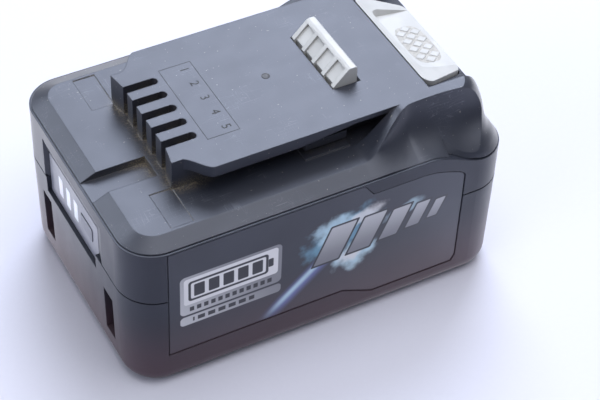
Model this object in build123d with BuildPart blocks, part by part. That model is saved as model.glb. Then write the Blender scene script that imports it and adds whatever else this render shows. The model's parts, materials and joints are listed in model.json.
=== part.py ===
from build123d import *
import math
import os

# Slide-on lithium-ion battery pack: ten round cells in two rows, a control board with five
# fork contacts, a rail head that slides under a tool, a sprung release latch and a charge gauge.
# Millimetres. X runs from the terminal end (-X) to the release button (+X), Z is up,
# the labelled long side faces -Y, and the origin is under the middle of the flat base.

os.makedirs("parts", exist_ok=True)

# Cells and the holders that carry them
cell_diameter = 18.4
cell_length = 65.2
cell_pitch = 19.2
cell_columns = 5
cell_rows = 2
cell_fit = 0.15
frame_rim = 1.2
frame_depth = 9.0
strip_thickness = 0.3
strip_width = 8.0
sheet_thickness = 0.3

# Case walls and the rooms around the cells
wall = 2.2
side_room = 5.2
front_room = 12.6
rear_room = 12.8
floor_thickness = 2.4
floor_rib_height = 2.6
board_gap = 3.0
board_thickness = 1.6
board_room = 4.2
clearance = 0.3
plan_radius = 11.5
base_radius = 5.5
draft_angle = 1.0

# Heights of the two parting lines
lower_case_height = 34.7
shoulder_drop = 2.6
shoulder_run = 5.5
seam_fall = 6.6
seam_fall_start = 30.0
seam_fall_end = 7.0
seam_width = 0.5
seam_depth = 0.7
lip_height = 2.5
lip_thickness = 1.2
lip_root = 2.0
lip_bite = 0.3

# Rail head on top of the cover
rail_height = 10.0
groove_height = 6.3
neck_half = 20.2
flange_half = 26.8
head_half = 27.8
skin = 2.4
head_setback = 22.5
ramp_start = 74.0
ramp_end = 89.0
groove_end = 90.5

# Terminal slots and contacts
slot_count = 5
slot_pitch = 6.31
slot_width = 2.8
slot_length = 10.0
contact_leaf = 0.5
contact_gap = 0.7
contact_length = 13.0

# Guide rib and ledge inside the grooves, the channel and the shallow patches on the deck
guide_start = 60.7
guide_reach = 3.8
guide_bottom = 1.4
guide_height = 2.7
ledge_reach = 6.1
ledge_height = 0.5
roof_start = 58.0
roof_end = 75.0
roof_rise = 2.1
channel_near = -13.2
channel_far = -4.6
channel_depth = 2.4
channel_stop = 2.2
patch_depth = 0.25
patch_inner = 19.3
patch_outer = 33.6
patch_length = 6.8
patch_gap = 0.8

# Release latch: tooth, bridge and thumb paddle in one moulding
tooth_setback = 75.6
tooth_length = 7.6
tooth_half = 12.6
tooth_height = 5.4
tooth_crest = 2.9
rib_count = 5
rib_width = 1.5
paddle_rear_gap = 5.3
paddle_length = 15.4
paddle_front_half = 22.6
paddle_rear_half = 16.2
paddle_fall = 5.1
paddle_skirt = 4.4
paddle_corner = 2.6
dish_depth = 2.4
bridge_half = 9.5
tray_thickness = 2.0
tray_width = 50.0
tray_post_radius = 2.75
spring_radius = 2.8
spring_wire = 0.7
spring_turns = 4
spring_half_spacing = 8.0

# Charge gauge on the terminal end
gauge_near = -14.3
gauge_far = 20.8
gauge_bottom = 29.2
gauge_top = 44.6
gauge_bevel = 4.9
gauge_far_bevel = 0.8
gauge_depth = 1.3
gauge_plate = 1.5
gauge_room = 2.2
gauge_board_thickness = 1.2
light_count = 3
light_pitch = 5.4
light_far_y = 12.7
light_width = 3.0
light_bottom = 33.4
light_height = 7.2
push_near = -10.3
push_far = -1.8
push_bottom = 35.0
push_height = 5.2
push_travel = 0.6

# Label pad on the long sides
pad_depth = 0.5
label_thickness = 0.3

# Screws
case_screw_radius = 1.5
case_screw_head = 2.9
small_screw_radius = 1.1
small_screw_head = 2.0
thread_fit = 0.02
tray_screw_reach = 6.0

# Sizes worked out from the values above
cell_radius = cell_diameter / 2
pack_length = cell_columns * cell_pitch + front_room + rear_room
pack_width = cell_length + 2 * (side_room + wall)
front_x = -pack_length / 2
rear_x = pack_length / 2
half_width = pack_width / 2
frame_bottom = floor_thickness + floor_rib_height
first_row_z = frame_bottom + frame_rim + cell_radius
frame_top = first_row_z + (cell_rows - 1) * cell_pitch + cell_radius + frame_rim
first_cell_x = front_x + front_room + cell_pitch / 2
last_cell_x = first_cell_x + (cell_columns - 1) * cell_pitch
frame_front = first_cell_x - cell_radius - frame_rim
frame_rear = last_cell_x + cell_radius + frame_rim
board_bottom = frame_top + board_gap
board_top = board_bottom + board_thickness
deck_z = board_top + board_room + wall
top_z = deck_z + rail_height
upper_seam_z = deck_z - shoulder_drop
rear_seam_z = upper_seam_z - seam_fall
groove_top = deck_z + groove_height
skin_z = top_z - skin
tooth_x = front_x + tooth_setback
teeth_x = front_x + head_setback
ramp_x = front_x + ramp_start
ramp_top_x = front_x + ramp_end
paddle_rear = rear_x - paddle_rear_gap
paddle_front = paddle_rear - paddle_length
seat_back = front_x + gauge_depth + gauge_plate + gauge_room
channel_end = teeth_x - channel_stop
channel_floor = deck_z - channel_depth
tray_top = board_top + 0.2
tray_posts = [(paddle_front - 3.5, paddle_front_half - 5.1),
              (paddle_rear - 5.4, paddle_rear_half + 6.0)]
lip_inset = wall + cell_fit + lip_thickness
beyond = 5.0
print("pack", round(pack_length, 2), round(pack_width, 2), round(top_z + tooth_height, 2))


def plan_block(inset, bottom, top, radius=plan_radius):
    """Straight prism on the case outline, moved in by inset."""
    with BuildPart() as block:
        with BuildSketch(Plane.XY.offset(bottom)):
            RectangleRounded(pack_length - 2 * inset, pack_width - 2 * inset, radius - inset)
        extrude(amount=top - bottom)
    return block.part


def plan_ring(outer, inner, bottom, top):
    """Upright ring on the case outline, between two insets."""
    with BuildPart() as ring:
        with BuildSketch(Plane.XY.offset(bottom)):
            for inset, mode in ((outer, Mode.ADD), (inner, Mode.SUBTRACT)):
                RectangleRounded(pack_length - 2 * inset, pack_width - 2 * inset,
                                 plan_radius - inset, mode=mode)
        extrude(amount=top - bottom)
    return ring.part


def tub_block(inset, bottom, top):
    """Prism that narrows downwards from the lower seam with the mould's draft."""
    slope = math.tan(math.radians(draft_angle))
    upper = inset + (lower_case_height - top) * slope
    with BuildPart() as block:
        with BuildSketch(Plane.XY.offset(top)):
            RectangleRounded(pack_length - 2 * upper, pack_width - 2 * upper, plan_radius - upper)
        extrude(amount=bottom - top, taper=draft_angle)
    return block.part


def box_between(x0, x1, y0, y1, z0, z1):
    """Plain box between two corners."""
    with BuildPart() as block:
        with BuildSketch(Plane.XY.offset(z0)):
            with Locations(((x0 + x1) / 2, (y0 + y1) / 2)):
                Rectangle(x1 - x0, y1 - y0)
        extrude(amount=z1 - z0)
    return block.part


def post(x, y, radius, bottom, top):
    """Round post standing along Z."""
    with BuildPart() as block:
        with BuildSketch(Plane.XY.offset(bottom)):
            with Locations((x, y)):
                Circle(radius)
        extrude(amount=top - bottom)
    return block.part


def rod(x, y, radius, bottom, top):
    """Eight-sided rod standing along Z, for small hidden screws and pins."""
    with BuildPart() as block:
        with BuildSketch(Plane.XY.offset(bottom)):
            with Locations((x, y)):
                RegularPolygon(radius, 8)
        extrude(amount=top - bottom)
    return block.part


def ease(value):
    """Smooth step from 0 to 1."""
    value = min(max(value, 0.0), 1.0)
    return value * value * (3 - 2 * value)


def seam_at(x):
    """Height of the upper parting line at x."""
    fall = (x - rear_x + seam_fall_start) / (seam_fall_start - seam_fall_end)
    return upper_seam_z - seam_fall * ease(fall)


def above_seam(shift):
    """Everything above the upper seam, which falls towards the button end."""
    fall_start = rear_x - seam_fall_start
    fall_end = rear_x - seam_fall_end
    level = upper_seam_z + shift
    low = rear_seam_z + shift
    ceiling = top_z + 20
    with BuildPart() as block:
        with BuildSketch(Plane.XZ.offset(-pack_width)):
            with BuildLine():
                Polyline((front_x - beyond, ceiling), (front_x - beyond, level), (fall_start, level))
                Spline((fall_start, level), (fall_end, low), tangents=[(1, 0), (1, 0)])
                Polyline((fall_end, low), (rear_x + beyond, low), (rear_x + beyond, ceiling))
                Line((rear_x + beyond, ceiling), (front_x - beyond, ceiling))
            make_face()
        extrude(amount=2 * pack_width)
    return block.part


# Corner screw bosses stand clear of the cell holders
boss_offset = 3.1
boss_radius = 2.8
boss_x = pack_length / 2 - plan_radius + boss_offset
boss_y = pack_width / 2 - plan_radius + boss_offset
boss_foot_radius = 4.4
head_depth = 3.2

# Lower case
seat_front = front_x + 1.2
seat_wall = 1.8
seat_ledge = 1.5
pocket_depth = 4.0
pocket_inner = 18.9
pocket_outer = 25.0
pocket_bottom = 9.5
pocket_top = 26.0
pad_left = front_x + 10.5
pad_right = rear_x - 16.1
pad_low = 7.5
pad_high = 12.1
pad_foot_start = 56.0
pad_foot_end = 66.0
pad_corner = 2.4
pad_top = upper_seam_z - 0.4
pad_seam_gap = 4.6
pad_step_start = 10.8
pad_step_end = 13.8


def pad_prism(side, margin, inner, outer):
    """Prism on the outline of the label pad, on one long side (side -1 is the labelled one)."""
    left = pad_left + margin
    right = pad_right - margin
    low = pad_low + margin
    high = pad_high + margin
    top = pad_top - margin
    gap = pad_seam_gap + margin
    fall_x = [pad_step_end, rear_x - seam_fall_start, right - 10, right - 6.5, right - 3.5, right - 1.2]
    falling = [(x, seam_at(x) - gap) for x in fall_x]
    with BuildPart() as block:
        with BuildSketch(Plane.XZ.offset(-side * inner)):
            with BuildLine():
                Polyline((left, top), (left, high), (pad_left + pad_foot_start, high),
                         (pad_left + pad_foot_end, low), (right - pad_corner / 2, low),
                         (right, low + pad_corner), (right, falling[-1][1] - 1.4))
                Polyline((right, falling[-1][1] - 1.4), *reversed(falling))
                Polyline(falling[0], (pad_step_start, top), (left, top))
            make_face()
        extrude(amount=-side * (outer - inner))
    return block.part


def pad_recess(side):
    return pad_prism(side, 0, half_width - 1.6, half_width + 1)


with BuildPart() as lower_case:
    add(tub_block(0, 0, lower_case_height))
    fillet(lower_case.faces().sort_by(Axis.Z)[0].edges(), base_radius)
    add(tub_block(wall, floor_thickness, lower_case_height), mode=Mode.SUBTRACT)
    # tongue that locates the band, on a root that bites into the wall
    add(plan_ring(wall + cell_fit - lip_bite, lip_inset, lower_case_height - lip_root, lower_case_height))
    add(plan_ring(wall + cell_fit, lip_inset, lower_case_height, lower_case_height + lip_height))
    # corner bosses, floor ribs under the holders and side ribs beside the sheets
    with BuildSketch(Plane.XY.offset(floor_thickness / 2)):
        with GridLocations(2 * boss_x, 2 * boss_y, 2, 2):
            Circle(boss_foot_radius)
    extrude(amount=frame_bottom - 0.4 - floor_thickness / 2)
    with BuildSketch(Plane.XY.offset(floor_thickness)):
        with GridLocations(2 * boss_x, 2 * boss_y, 2, 2):
            Circle(boss_radius)
    extrude(amount=lower_case_height - floor_thickness - clearance)
    with BuildSketch(Plane.XY.offset(floor_thickness - 0.2)):
        with GridLocations(cell_pitch, cell_length - frame_depth, cell_columns - 1, 2):
            Rectangle(2.0, frame_depth - 2)
    extrude(amount=floor_rib_height + 0.2)
    rib_reach = side_room - strip_thickness - sheet_thickness - clearance
    with BuildSketch(Plane.XY.offset(floor_thickness - 0.2)):
        with GridLocations(cell_pitch, pack_width - 2 * wall - rib_reach, cell_columns - 1, 2):
            Rectangle(1.6, rib_reach)
    extrude(amount=lower_case_height - floor_thickness - 4)
    # blind pockets low on the terminal end
    for side in (-1, 1):
        middle = side * (pocket_inner + pocket_outer) / 2
        inner_x = front_x + pocket_depth + wall
        reach = (pocket_outer - pocket_inner) / 2
        add(box_between(seat_front, inner_x, middle - reach - seat_wall, middle + reach + seat_wall,
                        pocket_bottom - seat_wall, pocket_top + seat_wall))
        add(box_between(front_x - 1, front_x + pocket_depth, middle - reach, middle + reach,
                        pocket_bottom, pocket_top), mode=Mode.SUBTRACT)
    # seat and notch for the gauge panel, which crosses the seam
    add(box_between(seat_front, seat_back, gauge_near - seat_wall, gauge_far + seat_wall,
                    gauge_bottom - 2, lower_case_height))
    add(box_between(front_x - 1, front_x + gauge_depth + gauge_plate, gauge_near, gauge_far,
                    gauge_bottom, lower_case_height + lip_height + 1), mode=Mode.SUBTRACT)
    add(box_between(front_x - 1, seat_back + 0.1, gauge_near + seat_ledge, gauge_far - seat_ledge,
                    gauge_bottom + seat_ledge, lower_case_height + lip_height + 1), mode=Mode.SUBTRACT)
    add(box_between(front_x, seat_back + 1, gauge_near - seat_wall - 0.6, gauge_far + seat_wall + 0.6,
                    lower_case_height, lower_case_height + lip_height + 1), mode=Mode.SUBTRACT)
    for side in (-1, 1):
        add(pad_recess(side), mode=Mode.SUBTRACT)
        add(tub_block(pad_depth, 1, lower_case_height).intersect(pad_recess(side)))
    with BuildSketch(Plane.XY):
        with GridLocations(2 * boss_x, 2 * boss_y, 2, 2):
            Circle(case_screw_head + clearance)
    extrude(amount=head_depth, mode=Mode.SUBTRACT)
    with BuildSketch(Plane.XY):
        with GridLocations(2 * boss_x, 2 * boss_y, 2, 2):
            Circle(case_screw_radius + 0.1)
    extrude(amount=lower_case_height, mode=Mode.SUBTRACT)
lower_case.part.label = "lower_case"
export_step(lower_case.part, "parts/lower_case.step")
print("lower_case", len(lower_case.part.solids()), round(lower_case.part.volume))

# Middle band between the two parting lines
with BuildPart() as middle_band:
    add(plan_block(0, lower_case_height, upper_seam_z))
    add(plan_block(wall, lower_case_height - 1, upper_seam_z + 1), mode=Mode.SUBTRACT)
    add(box_between(seat_front, seat_back, gauge_near - seat_wall, gauge_far + seat_wall,
                    lower_case_height, gauge_top + seat_wall))
    # the shadow line above the lower case
    add(plan_block(0, lower_case_height, lower_case_height + seam_width).cut(
        plan_block(seam_depth, lower_case_height - 1, lower_case_height + 1)), mode=Mode.SUBTRACT)
    # wide bevels above and beside the gauge panel
    with BuildSketch(Plane.YZ.offset(front_x)):
        with BuildLine():
            Polyline((gauge_near - gauge_bevel, lower_case_height),
                     (gauge_far + gauge_far_bevel, lower_case_height),
                     (gauge_far + gauge_far_bevel, gauge_top + gauge_bevel),
                     (gauge_near - gauge_bevel, gauge_top + gauge_bevel), close=True)
        make_face()
    with BuildSketch(Plane.YZ.offset(front_x + gauge_depth)):
        with BuildLine():
            Polyline((gauge_near, lower_case_height), (gauge_far, lower_case_height),
                     (gauge_far, gauge_top), (gauge_near, gauge_top), close=True)
        make_face()
    loft(mode=Mode.SUBTRACT)
    add(box_between(front_x - 1, front_x + gauge_depth + gauge_plate, gauge_near, gauge_far,
                    lower_case_height - 1, gauge_top), mode=Mode.SUBTRACT)
    add(box_between(front_x - 1, seat_back + 0.1, gauge_near + seat_ledge, gauge_far - seat_ledge,
                    lower_case_height - 1, gauge_top - seat_ledge), mode=Mode.SUBTRACT)
    add(above_seam(0), mode=Mode.SUBTRACT)
    for side in (-1, 1):
        add(pad_recess(side), mode=Mode.SUBTRACT)
        add(plan_block(pad_depth, lower_case_height, upper_seam_z).intersect(pad_recess(side)))
    add(plan_block(wall, lower_case_height - 1, upper_seam_z + 1).cut(
        box_between(front_x, seat_back, gauge_near - seat_wall, gauge_far + seat_wall,
                    lower_case_height, gauge_top + seat_wall)), mode=Mode.SUBTRACT)
middle_band.part.label = "middle_band"
export_step(middle_band.part, "parts/middle_band.step")
print("middle_band", len(middle_band.part.solids()), round(middle_band.part.volume))

# Rail head behind the grooves: a ramp, a finger scoop on each side and a rounded tail
shoulder_half = half_width - shoulder_run
lobe_height = 7.0
# Height over the rear parting line, stand-in of the rear end and of the sides, and corner radius
tail_levels = [
    (-1.5, 0.0, 0.0, plan_radius),
    (0.2, 0.1, 0.1, plan_radius),
    (1.8, 1.1, 0.6, plan_radius),
    (3.4, 2.1, 1.5, plan_radius - 0.2),
    (4.8, 3.0, 2.6, plan_radius - 0.5),
    (6.2, 3.3, 4.0, plan_radius - 1.0),
    (8.0, 3.5, 5.8, plan_radius - 2.1),
    (11.0, 3.8, 7.6, plan_radius - 3.3),
    (14.0, 4.6, 8.9, plan_radius - 3.9),
    (16.8, 5.9, 9.8, plan_radius - 4.2),
    (18.3, 7.4, 10.3, plan_radius - 4.4),
    (19.2, 9.2, 10.7, plan_radius - 4.5),
]
tail_shrink = 0.6
flare_start = rear_x - 20
flare_end = rear_x - 9
foot_over = 1.0
boss_top = rear_seam_z + 5.4


def flank_points(x):
    """Control points of the head's flank at x, from beyond the parting line up to the crest."""
    climb = ease((x - ramp_x) / (ramp_top_x + 0.7 - ramp_x))
    narrow = ease((x - ramp_x) / (ramp_top_x + 6.0 - ramp_x))
    hollow = ease((x - ramp_x) / (ramp_top_x + 1.0 - ramp_x))
    flare = ease((x - flare_start) / (flare_end - flare_start))
    drop = upper_seam_z - seam_at(x)
    foot = (half_width + foot_over, seam_at(x) - 0.47 * foot_over)
    crest_y = shoulder_half - (shoulder_half - head_half + 0.2) * narrow + 0.8 * flare
    crest = (crest_y, deck_z + rail_height * climb)
    scoop = [(half_width - 4.0, upper_seam_z + 1.2 - 0.6 * drop),
             (half_width - 8.5, upper_seam_z + 2.6 - 0.35 * drop),
             (head_half + 1.3, upper_seam_z + 6.6 - 0.15 * drop)]
    lobe = [(half_width - 1.5, rear_seam_z + lobe_height - 2.2),
            (half_width - 6.0, rear_seam_z + lobe_height),
            (head_half + 1.2, rear_seam_z + lobe_height - 0.4)]
    points = [foot]
    for share, (scoop_y, scoop_z), (lobe_y, lobe_z) in zip((0.25, 0.5, 0.75), scoop, lobe):
        straight_y = foot[0] + (crest[0] - foot[0]) * share
        straight_z = foot[1] + (crest[1] - foot[1]) * share
        y = scoop_y + (lobe_y - scoop_y) * flare
        z = scoop_z + (lobe_z - scoop_z) * flare
        points.append((straight_y + (y - straight_y) * hollow, straight_z + (z - straight_z) * hollow))
    points.append(crest)
    return points


def head_section(x, inset, low):
    """Closed cross-section of the rail head at x; inset makes the inside of the shell."""
    near = [(y - inset, z - inset) for y, z in flank_points(x)]
    far = [(-y, z) for y, z in reversed(near)]
    with BuildSketch(Plane(origin=(x, 0, 0), x_dir=(0, 1, 0), z_dir=(1, 0, 0))) as section:
        with BuildLine():
            Line((far[-1][0], low), (near[0][0], low))
            Line((near[0][0], low), near[0])
            Bezier(*near)
            Line(near[-1], far[0])
            Bezier(*far)
            Line(far[-1], (far[-1][0], low))
        make_face()
    return section.sketch


def head_block(inset, low):
    """Rail head along X: one smooth loft up the ramp and one from there to the tail."""
    ramp_end = ramp_top_x + 0.7
    blocks = []
    for start, end, count in ((ramp_x, ramp_end, 6), (ramp_end, rear_x + 1, 9)):
        with BuildPart() as block:
            for i in range(count):
                add(head_section(start + (end - start) * i / (count - 1), inset, low))
            loft()
        blocks.append(block.part)
    return blocks[0].fuse(blocks[1])


def tail_block(inset):
    """Envelope of the rounded tail: a round shoulder, then the pillars beside the paddle."""
    with BuildPart() as block:
        for height, rear_in, side_in, radius in tail_levels:
            with BuildSketch(Plane.XY.offset(rear_seam_z + height - inset)):
                with Locations((-(rear_in + inset) / 2, 0)):
                    RectangleRounded(pack_length - rear_in - inset, pack_width - 2 * (side_in + inset),
                                     radius - tail_shrink * inset)
        loft()
    return block.part


def paddle_z(x):
    """Height of the paddle's sloping face."""
    return top_z - (x - paddle_front) * paddle_fall / paddle_length


trough_step = 1.3
trough_half = 24.0


def slope_slab(half, above, below):
    """Slab on the slope of the paddle, from above to below that slope."""
    x0 = paddle_front - clearance
    x1 = rear_x + 2
    with BuildPart() as block:
        with BuildSketch(Plane.XZ.offset(-half)):
            with BuildLine():
                Polyline((x0, paddle_z(x0) + above), (x1, paddle_z(x1) + above),
                         (x1, paddle_z(x1) + below), (x0, paddle_z(x0) + below), close=True)
            make_face()
        extrude(amount=2 * half)
    return block.part


def paddle_outline(grow):
    """Trapezoid with round corners, wider towards the tool, grown by grow."""
    with BuildSketch() as outline:
        with BuildLine():
            Polyline((paddle_front - grow, paddle_front_half + grow),
                     (paddle_front - grow, -paddle_front_half - grow),
                     (paddle_rear + grow, -paddle_rear_half - grow),
                     (paddle_rear + grow, paddle_rear_half + grow), close=True)
        make_face()
        fillet(outline.vertices(), paddle_corner)
    return outline.sketch


def paddle_block(grow, bottom, top):
    with BuildPart() as block:
        with BuildSketch(Plane.XY.offset(bottom)):
            add(paddle_outline(grow))
        extrude(amount=top - bottom)
    return block.part


notch_half = 14.2
notch_front = teeth_x - 1.1
notch_points = [(teeth_x + 1.9, neck_half - 0.25), (teeth_x + 3.9, neck_half + 1.3)]
notch_end = teeth_x + 8.8
rail_rear = front_x + groove_end + 2


def flange_outline():
    """Half of the rail flange seen from above; the front corner is cut back by a round notch."""
    with BuildSketch() as outline:
        with BuildLine():
            Polyline((teeth_x, 0), (teeth_x, notch_half), (notch_front, neck_half))
            Spline((notch_front, neck_half), *notch_points, (notch_end, flange_half))
            Polyline((notch_end, flange_half), (rail_rear, flange_half), (rail_rear, 0), (teeth_x, 0))
        make_face()
    return outline.sketch


def neck_outline():
    with BuildSketch() as outline:
        with BuildLine():
            Polyline((teeth_x, 0), (teeth_x, notch_half), (notch_front, neck_half),
                     (rail_rear, neck_half), (rail_rear, 0), close=True)
        make_face()
    return outline.sketch


def cover_hollow():
    """Inside of the cover's shell, with walls left round the grooves, the slope and the channel."""
    low = rear_seam_z - 6
    with BuildPart() as block:
        add(head_block(skin, low))
        below_tail = plan_block(lip_inset, low, rear_seam_z + tail_levels[0][0] - skin + 0.1)
        add(below_tail.fuse(tail_block(skin)), mode=Mode.INTERSECT)
        add(plan_block(lip_inset, low, top_z), mode=Mode.INTERSECT)
        add(plan_block(lip_inset, low, deck_z - wall - 0.4).intersect(
            box_between(front_x, ramp_x + 0.1, -half_width, half_width, low, deck_z)))
        add(box_between(teeth_x + 2, ramp_top_x + 1, -neck_half + wall, neck_half - wall, low, skin_z))
        add(slope_slab(trough_half + skin, 20, -trough_step - skin), mode=Mode.SUBTRACT)
        for side in (-1, 1):
            wall_y = sorted((side * (neck_half - wall), side * (flange_half + wall)))
            add(box_between(ramp_x - 0.2, rail_rear, wall_y[0], wall_y[1],
                            deck_z - wall - 0.4, top_z), mode=Mode.SUBTRACT)
        add(box_between(front_x, channel_end + 2, channel_near - 2, channel_far + 2,
                        channel_floor - wall, deck_z), mode=Mode.SUBTRACT)
    return block.part


with BuildPart() as top_cover:
    # front deck with its sloped rim
    with BuildSketch(Plane.XY.offset(upper_seam_z)):
        RectangleRounded(pack_length, pack_width, plan_radius)
    extrude(amount=shoulder_drop, taper=math.degrees(math.atan(shoulder_run / shoulder_drop)))
    add(plan_block(0, rear_seam_z - 2, upper_seam_z))
    add(box_between(ramp_x, rear_x + 1, -half_width - 1, half_width + 1, rear_seam_z - 3, top_z),
        mode=Mode.SUBTRACT)
    # rail head, rounded off by the tail's envelope
    tail_cut = box_between(rear_x - 22, rear_x + beyond, -half_width - beyond, half_width + beyond,
                           rear_seam_z + tail_levels[0][0], top_z + beyond).cut(tail_block(0))
    plan_cut = box_between(ramp_x - 1, rear_x + beyond, -half_width - beyond, half_width + beyond,
                           rear_seam_z - 3, top_z + beyond).cut(plan_block(0, rear_seam_z - 4, top_z))
    add(head_block(0, rear_seam_z - 2).cut(plan_cut).cut(tail_cut))
    # neck and flange of the rail
    with BuildSketch(Plane.XY.offset(deck_z - 1)):
        add(neck_outline())
        mirror(about=Plane.XZ)
    extrude(amount=rail_height + 1)
    with BuildSketch(Plane.XY.offset(groove_top)):
        add(flange_outline())
        mirror(about=Plane.XZ)
    extrude(amount=rail_height - groove_height)
    add(above_seam(0), mode=Mode.INTERSECT)
    # hollow inside: under the deck, the head, the tail and the neck, less the walls that stay
    add(cover_hollow(), mode=Mode.SUBTRACT)
    # lip that drops inside the band, corner screw bosses and tray posts
    lip = plan_block(wall + cell_fit, rear_seam_z - 6, deck_z - wall).cut(
        plan_block(lip_inset, rear_seam_z - 7, deck_z))
    add(lip.intersect(above_seam(-lip_height).cut(above_seam(0.3))))
    with BuildSketch(Plane.XY.offset(lower_case_height + clearance)):
        with GridLocations(2 * boss_x, 2 * boss_y, 2, 2):
            Circle(boss_radius)
    extrude(amount=boss_top - lower_case_height - clearance)
    with BuildSketch(Plane.XY.offset(rear_seam_z)):
        with Locations((-boss_x, -boss_y), (-boss_x, boss_y)):
            Circle(boss_radius)
    extrude(amount=deck_z - wall - rear_seam_z)
    for x, y in tray_posts:
        roof = skin_z + 0.5 if x < paddle_front else paddle_z(x) - trough_step - 1
        add(post(x, y, tray_post_radius, tray_top, roof))
        add(post(x, -y, tray_post_radius, tray_top, roof))
    # guide rib inside each groove, on the neck, and a low ledge at its foot
    for side in (-1, 1):
        rib_y = sorted((side * (neck_half - 0.2), side * (neck_half + guide_reach)))
        ledge_y = sorted((side * (neck_half - 0.2), side * (neck_half + ledge_reach)))
        add(box_between(front_x + guide_start, ramp_x, rib_y[0], rib_y[1],
                        deck_z + guide_bottom, deck_z + guide_bottom + guide_height))
        add(box_between(front_x + guide_start - 1, ramp_x, ledge_y[0], ledge_y[1],
                        deck_z - 0.5, deck_z + ledge_height))
    # grooves: open along the deck, closed behind the ramp, with a rising roof at their rear half
    for side in (-1, 1):
        with BuildSketch(Plane.XZ.offset(-neck_half if side > 0 else neck_half)):
            with BuildLine():
                Polyline((ramp_x, deck_z), (ramp_x, deck_z + 5), (front_x + roof_start, groove_top),
                         (front_x + roof_end, groove_top + roof_rise),
                         (front_x + groove_end, groove_top + roof_rise),
                         (front_x + groove_end, deck_z), close=True)
            make_face()
        extrude(amount=-side * (flange_half - neck_half), mode=Mode.SUBTRACT)
    # channel, corner patches and the terminal slots
    add(box_between(front_x - 1, channel_end, channel_near, channel_far, channel_floor, top_z),
        mode=Mode.SUBTRACT)
    for side in (-1, 1):
        patch_y = sorted((side * patch_inner, side * patch_outer))
        add(box_between(teeth_x - patch_length - patch_gap, teeth_x - patch_gap, patch_y[0], patch_y[1],
                        deck_z - patch_depth, deck_z + 1), mode=Mode.SUBTRACT)
    with BuildSketch(Plane.XY.offset(deck_z)):
        with Locations((teeth_x + slot_length - slot_width / 2, 0)):
            with GridLocations(slot_pitch, slot_pitch, 1, slot_count):
                Circle(slot_width / 2)
        with Locations((teeth_x + (slot_length - slot_width) / 2 - 1.5, 0)):
            with GridLocations(slot_pitch, slot_pitch, 1, slot_count):
                Rectangle(slot_length - slot_width / 2 + 3, slot_width)
    extrude(amount=rail_height + 1, mode=Mode.SUBTRACT)
    # window for the tooth, slope and well for the paddle
    add(box_between(tooth_x - clearance, tooth_x + tooth_length + 1.1, -tooth_half - clearance,
                    tooth_half + clearance, deck_z, top_z + 1), mode=Mode.SUBTRACT)
    add(slope_slab(trough_half, 20, -trough_step), mode=Mode.SUBTRACT)
    add(paddle_block(clearance + 0.05, board_top, top_z + 1), mode=Mode.SUBTRACT)
    # shadow line above the band
    shadow = plan_block(-1, rear_seam_z - 1, upper_seam_z + seam_width).cut(
        plan_block(seam_depth, rear_seam_z - 2, deck_z))
    add(shadow.cut(above_seam(seam_width)), mode=Mode.SUBTRACT)
    # screw holes
    with BuildSketch(Plane.XY.offset(lower_case_height)):
        with GridLocations(2 * boss_x, 2 * boss_y, 2, 2):
            Circle(case_screw_radius + thread_fit)
    extrude(amount=rear_seam_z - lower_case_height, mode=Mode.SUBTRACT)
    for x, y in tray_posts:
        for side in (-1, 1):
            hole_top = tray_top + tray_screw_reach + 0.5
            add(post(x, side * y, small_screw_radius + thread_fit, tray_top, hole_top), mode=Mode.SUBTRACT)
top_cover.part.label = "top_cover"
export_step(top_cover.part, "parts/top_cover.step")
print("top_cover", len(top_cover.part.solids()), round(top_cover.part.volume))


# Release latch: the tooth and the paddle joined by a bridge, one moulding
bridge_top = skin_z - clearance
bridge_bottom = bridge_top - skin
paddle_bottom = paddle_z(paddle_rear) - paddle_skirt
spring_x = paddle_front + 7.6
spring_seat = paddle_z(spring_x) - dish_depth - 1.5
dish_front = paddle_front + 3.0
dish_rear = paddle_rear - 0.6
dish_front_z = paddle_z(dish_front) - dish_depth
dish_rear_z = paddle_z(dish_rear) - 0.1
dish_angle = math.degrees(math.atan((dish_front_z - dish_rear_z) / (dish_rear - dish_front)))
dish_slope = math.radians(dish_angle)
dish_plane = Plane(origin=(dish_front, 0, dish_front_z),
                   x_dir=(math.cos(dish_slope), 0, -math.sin(dish_slope)),
                   z_dir=(math.sin(dish_slope), 0, math.cos(dish_slope)))
dish_half = paddle_rear_half - 2.2
dish_reach = paddle_length + 8

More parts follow.
